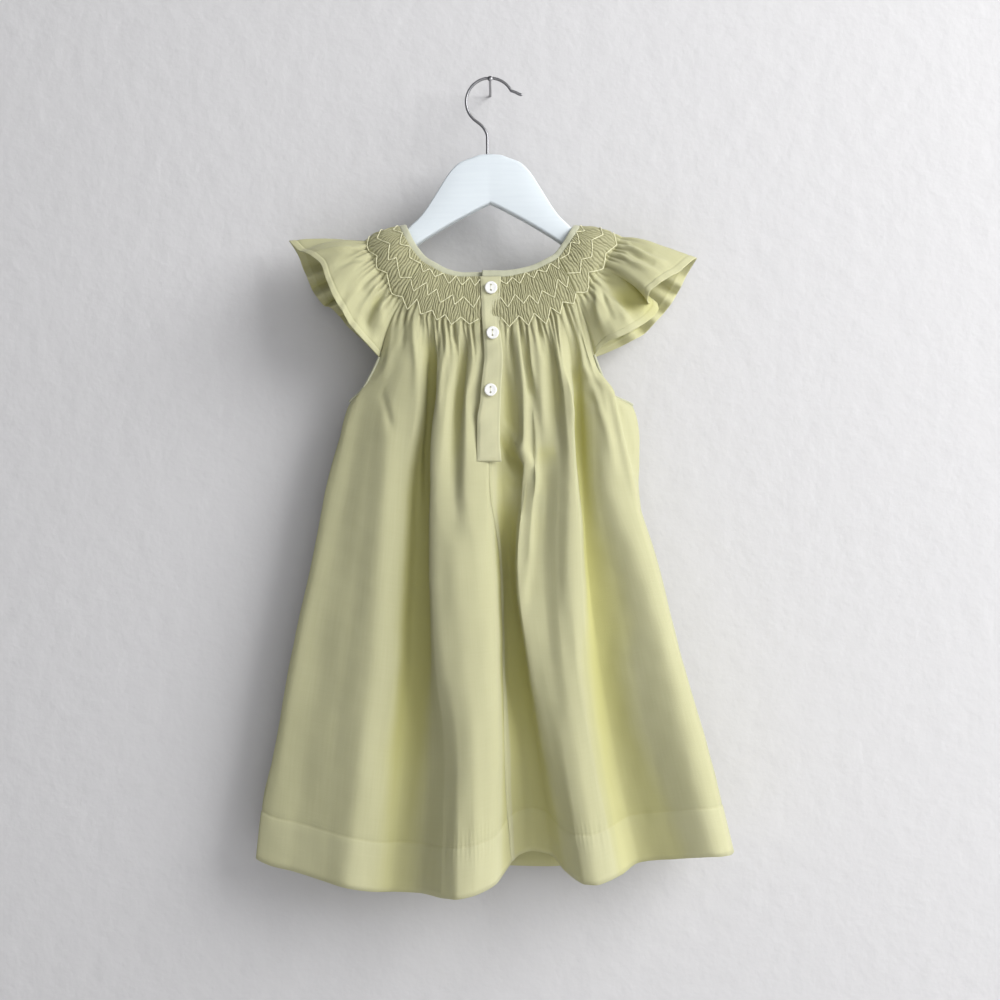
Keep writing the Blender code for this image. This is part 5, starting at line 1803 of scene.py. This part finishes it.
@dataclass(frozen=True)
class BindingFinish(Finish):
    """The same cloth cut on the bias for bindings, which have no flat map."""

    name: str = "sage_binding"
    colour: Colour = (0.54, 0.545, 0.40, 1.0)
    dark: Colour = (0.43, 0.435, 0.31, 1.0)

    def surface(self, make: FinishMaker) -> bpy.types.Node:
        """Fine yarn over faint clouds.

        Args:
            make: The maker of the nodes.

        Returns:
            The shader.
        """
        place = make.place()
        yarn = make.noise(place, (1500.0, 1500.0, 1500.0), 2.0)
        colour = make.mix(yarn * 0.5 + make.noise(place, 60.0, 3.0) * 0.5, self.dark, self.colour)
        return make.principled({"Base Color": colour, "Roughness": 0.88, "Normal": make.bump(yarn, 0.00015),
                                "Sheen Weight": 0.25, "Specular IOR Level": 0.2})


@dataclass(frozen=True)
class ThreadFinish(Finish):
    """Twisted embroidery cotton with a soft shine."""

    name: str = "cream_thread"
    colour: Colour = (0.88, 0.86, 0.58, 1.0)
    dark: Colour = (0.75, 0.73, 0.45, 1.0)

    def surface(self, make: FinishMaker) -> bpy.types.Node:
        """The twist of the strands.

        Args:
            make: The maker of the nodes.

        Returns:
            The shader.
        """
        twist = make.noise(make.place(), (2600.0, 2600.0, 2600.0), 1.0)
        return make.principled({"Base Color": make.mix(twist, self.dark, self.colour), "Roughness": 0.6,
                                "Normal": make.bump(twist, 0.0002), "Sheen Weight": 0.3})


@dataclass(frozen=True)
class ButtonFinish(Finish):
    """Off-white shell-look resin with faint clouds."""

    name: str = "button_resin"
    colour: Colour = (0.90, 0.90, 0.87, 1.0)
    dark: Colour = (0.80, 0.80, 0.78, 1.0)

    def surface(self, make: FinishMaker) -> bpy.types.Node:
        """Clouds under a polished face.

        Args:
            make: The maker of the nodes.

        Returns:
            The shader.
        """
        cloud = make.noise(make.place(), (260.0, 260.0, 520.0), 3.0)
        return make.principled({"Base Color": make.mix(cloud, self.dark, self.colour),
                                "Roughness": 0.22 + cloud * 0.12, "Coat Weight": 0.3})


@dataclass(frozen=True)
class PaintFinish(Finish):
    """Satin white paint over wood, with the grain just telling through."""

    name: str = "white_paint"
    colour: Colour = (0.73, 0.79, 0.82, 1.0)
    dark: Colour = (0.66, 0.72, 0.76, 1.0)

    def surface(self, make: FinishMaker) -> bpy.types.Node:
        """The grain and the marks of the brush.

        Args:
            make: The maker of the nodes.

        Returns:
            The shader.
        """
        place = make.place()
        grain = make.noise(place, (25.0, 400.0, 400.0), 4.0)
        brush = make.noise(place, (90.0, 900.0, 900.0), 2.0)
        return make.principled({"Base Color": make.mix(grain, self.dark, self.colour),
                                "Roughness": 0.36 + brush * 0.14,
                                "Normal": make.bump(grain * 0.6 + brush * 0.4, 0.00012, 0.6)})


@dataclass(frozen=True)
class SteelFinish(Finish):
    """Drawn steel wire, polished and lightly marked."""

    name: str = "steel_wire"
    colour: Colour = (0.34, 0.34, 0.35, 1.0)
    dark: Colour = (0.20, 0.20, 0.21, 1.0)

    def surface(self, make: FinishMaker) -> bpy.types.Node:
        """Fine marks all over.

        Args:
            make: The maker of the nodes.

        Returns:
            The shader.
        """
        mark = make.noise(make.place(), (900.0, 900.0, 900.0), 3.0)
        return make.principled({"Base Color": make.mix(mark, self.dark, self.colour), "Metallic": 1.0,
                                "Roughness": 0.22 + mark * 0.2})


@dataclass(frozen=True)
class WallFinish(Finish):
    """Painted plaster, seen only from the room's side."""

    name: str = "pale_wall"
    colour: Colour = (0.63, 0.625, 0.63, 1.0)

    def surface(self, make: FinishMaker) -> bpy.types.Node:
        """The plaster, clear from behind.

        Args:
            make: The maker of the nodes.

        Returns:
            The shader.
        """
        plaster = make.noise(make.place(), 55.0, 5.0)
        wall = make.principled({"Base Color": self.colour, "Roughness": 0.9,
                                "Normal": make.bump(plaster, 0.002, 0.5)})
        behind = Value(make, make.add("ShaderNodeNewGeometry").outputs["Backfacing"])
        return make.blend(behind, wall, make.add("ShaderNodeBsdfTransparent"))


# ---------------------------------------------------------------- the studio
class Lamp(NamedTuple):
    """A square light that looks at the dress."""

    name: str
    power: float
    place: tuple[float, float, float]
    size: float


@dataclass
class Studio:
    """The wall and floor, the lights and the camera."""

    wall_y: float = 0.042
    floor_z: float = -1.05
    eye: tuple[float, float, float] = (0.0083, -1.1, -0.349)
    half_view: float = 0.415
    sheet: float = 6.0
    wall_middle: float = 0.9
    middle: tuple[float, float, float] = (0.0, 0.0, -0.38)
    lamps: tuple[Lamp, ...] = (
        Lamp("window", 98.0, (2.2, -1.4, 0.8), 1.9), Lamp("room", 26.0, (0.7, -2.6, 0.0), 2.6),
    )
    sky: Colour = (0.9, 0.92, 1.0, 1.0)
    sky_strength: float = 0.15
    nail_profile: tuple[tuple[float, float], ...] = (
        (0.0, -6.0), (1.9, -6.0), (2.2, -5.6), (2.1, -5.0), (1.1, -4.7), (1.0, -4.0), (1.0, 42.0),
    )

    def build(self) -> None:
        """Makes everything that isn't part of the dress."""
        paint = WallFinish().build()
        reach = self.sheet / 2.0
        for name, turn, place in (
                ("wall", Matrix.Rotation(math.pi / 2, 3, "X"), (0.0, self.wall_y, self.wall_middle)),
                ("floor", Matrix.Identity(3), (0.0, self.wall_y - reach, self.floor_z))):
            bm = bmesh.new()
            made = bmesh.ops.create_grid(bm, x_segments=1, y_segments=1, size=reach)["verts"]
            bmesh.ops.rotate(bm, verts=made, cent=(0, 0, 0), matrix=turn)
            bmesh.ops.translate(bm, verts=made, vec=place)
            obj = mesh_object(name, bm)
            obj.data.materials.append(paint)
        self.nail()
        for lamp in self.lamps:
            self.light(lamp)
        world = bpy.data.worlds.new("room")
        world.use_nodes = True
        background = world.node_tree.nodes["Background"]
        background.inputs["Color"].default_value = self.sky
        background.inputs["Strength"].default_value = self.sky_strength
        bpy.context.scene.world = world
        bpy.context.scene.view_settings.view_transform = "Standard"
        self.camera()

    def nail(self) -> None:
        """Adds the nail in the wall under the hook's bend."""
        bm = turned(self.nail_profile, 24)
        bmesh.ops.translate(bm, verts=bm.verts, vec=(0.0, 0.0, -MM))
        obj = mesh_object("nail", bm)
        obj.data.materials.append(SteelFinish("nail_steel").build())

    def light(self, lamp: Lamp) -> None:
        """Adds a light that looks at the middle of the dress.

        Args:
            lamp: Its row of the table.
        """
        data = bpy.data.lights.new(lamp.name, "AREA")
        data.energy = lamp.power
        data.size = lamp.size
        obj = bpy.data.objects.new(lamp.name, data)
        obj.location = lamp.place
        aim = Vector(self.middle) - Vector(lamp.place)
        obj.rotation_euler = aim.to_track_quat("-Z", "Y").to_euler()
        bpy.context.scene.collection.objects.link(obj)

    def camera(self) -> None:
        """Adds the camera, level and square to the wall."""
        data = bpy.data.cameras.new("camera")
        data.angle = 2.0 * math.atan(self.half_view / abs(self.eye[1]))
        obj = bpy.data.objects.new("camera", data)
        obj.location = self.eye
        obj.rotation_euler = (math.pi / 2, 0.0, 0.0)
        bpy.context.scene.collection.objects.link(obj)
        bpy.context.scene.camera = obj


@dataclass
class Dress:
    """The whole garment."""

    back_cut: tuple[float, float] = (0.21, 0.50)
    back_area: float = 0.092
    front_cut: tuple[float, float] = (0.42, 0.50)
    sleeve_cut: tuple[float, float] = (0.22, 0.12)
    sleeve_area: float = 0.018
    buttons: tuple[tuple[float, float], ...] = ((1.0, -177.0), (2.3, -214.0), (0.7, -260.0))

    def panels(self) -> tuple[ClothPiece, ...]:
        """Lays out the five large pieces round the yoke.

        Returns:
            The two backs, the front and the two sleeves.
        """
        left_raglan, front_left = RING_STATIONS - RAGLAN, 2 * SHOULDER + RAGLAN
        front_right = 2 * SHOULDER - RAGLAN
        left, right = EdgeLine(left_raglan, LEFT_EDGE), EdgeLine(RAGLAN, RIGHT_EDGE)
        return (
            BodyPanel("back_left", left_raglan, RING_STATIONS, 36, self.back_cut, self.back_area, -1.0, 5,
                      BACK_CREASES, last_stitch=0.88, folds=BACK_LEFT_FOLDS, left_edge=left),
            BodyPanel("back_right", 0, RAGLAN, 36, self.back_cut, self.back_area, -1.0, 5,
                      BACK_CREASES, first_stitch=0.12, folds=BACK_RIGHT_FOLDS, right_edge=right),
            BodyPanel("front", front_left, front_right, 72, self.front_cut, 2.0 * self.back_area, 1.0, 11,
                      FRONT_CREASES, columns_per_pleat=5, yoke_rows=46, skirt_rows=74,
                      gather_depth=(1.2, 2.4), gather_length=(0.6, 2.0), folds=FRONT_FOLDS,
                      left_edge=left, right_edge=right, facing=Side.FRONT),
            CapSleeve("sleeve_left", left_raglan, front_left, 42, self.sleeve_cut, self.sleeve_area, 1.0, 6,
                      LEFT_SLEEVE_CREASES, hem=LEFT_SLEEVE_HEM, edge=left),
            CapSleeve("sleeve_right", RAGLAN, front_right, 42, self.sleeve_cut, self.sleeve_area, -1.0, 6,
                      RIGHT_SLEEVE_CREASES, hem=RIGHT_SLEEVE_HEM, edge=right),
        )

    def build(self) -> None:
        """Makes every piece of cloth, the trimmings and the buttons."""
        cloth, binding = ClothFinish().build(), BindingFinish().build()
        thread, resin = ThreadFinish().build(), ButtonFinish().build()
        panels = self.panels()
        for piece in panels:
            piece.build(cloth)
            SmockingThread(piece).build(thread)
        back_left, back_right = panels[:2]
        NeckBinding().build(binding)
        ArmholeBinding("armhole_binding_left", back_left.left_edge).build(binding)
        ArmholeBinding("armhole_binding_right", back_right.right_edge).build(binding)
        placket = Placket(back_left, back_right)
        placket.build(cloth)
        for number, (x, z) in enumerate(self.buttons, 1):
            Button(number, x, z, placket).build(resin, thread)


def main() -> None:
    """Builds the hanger, the dress and the studio."""
    logging.basicConfig(level=logging.INFO, format="%(name)s %(message)s")
    hanger = Hanger()
    hanger.build_body(PaintFinish().build())
    hanger.build_hook(SteelFinish().build())
    Dress().build()
    Studio().build()
    bpy.context.view_layer.update()


if __name__ == "__main__":
    main()
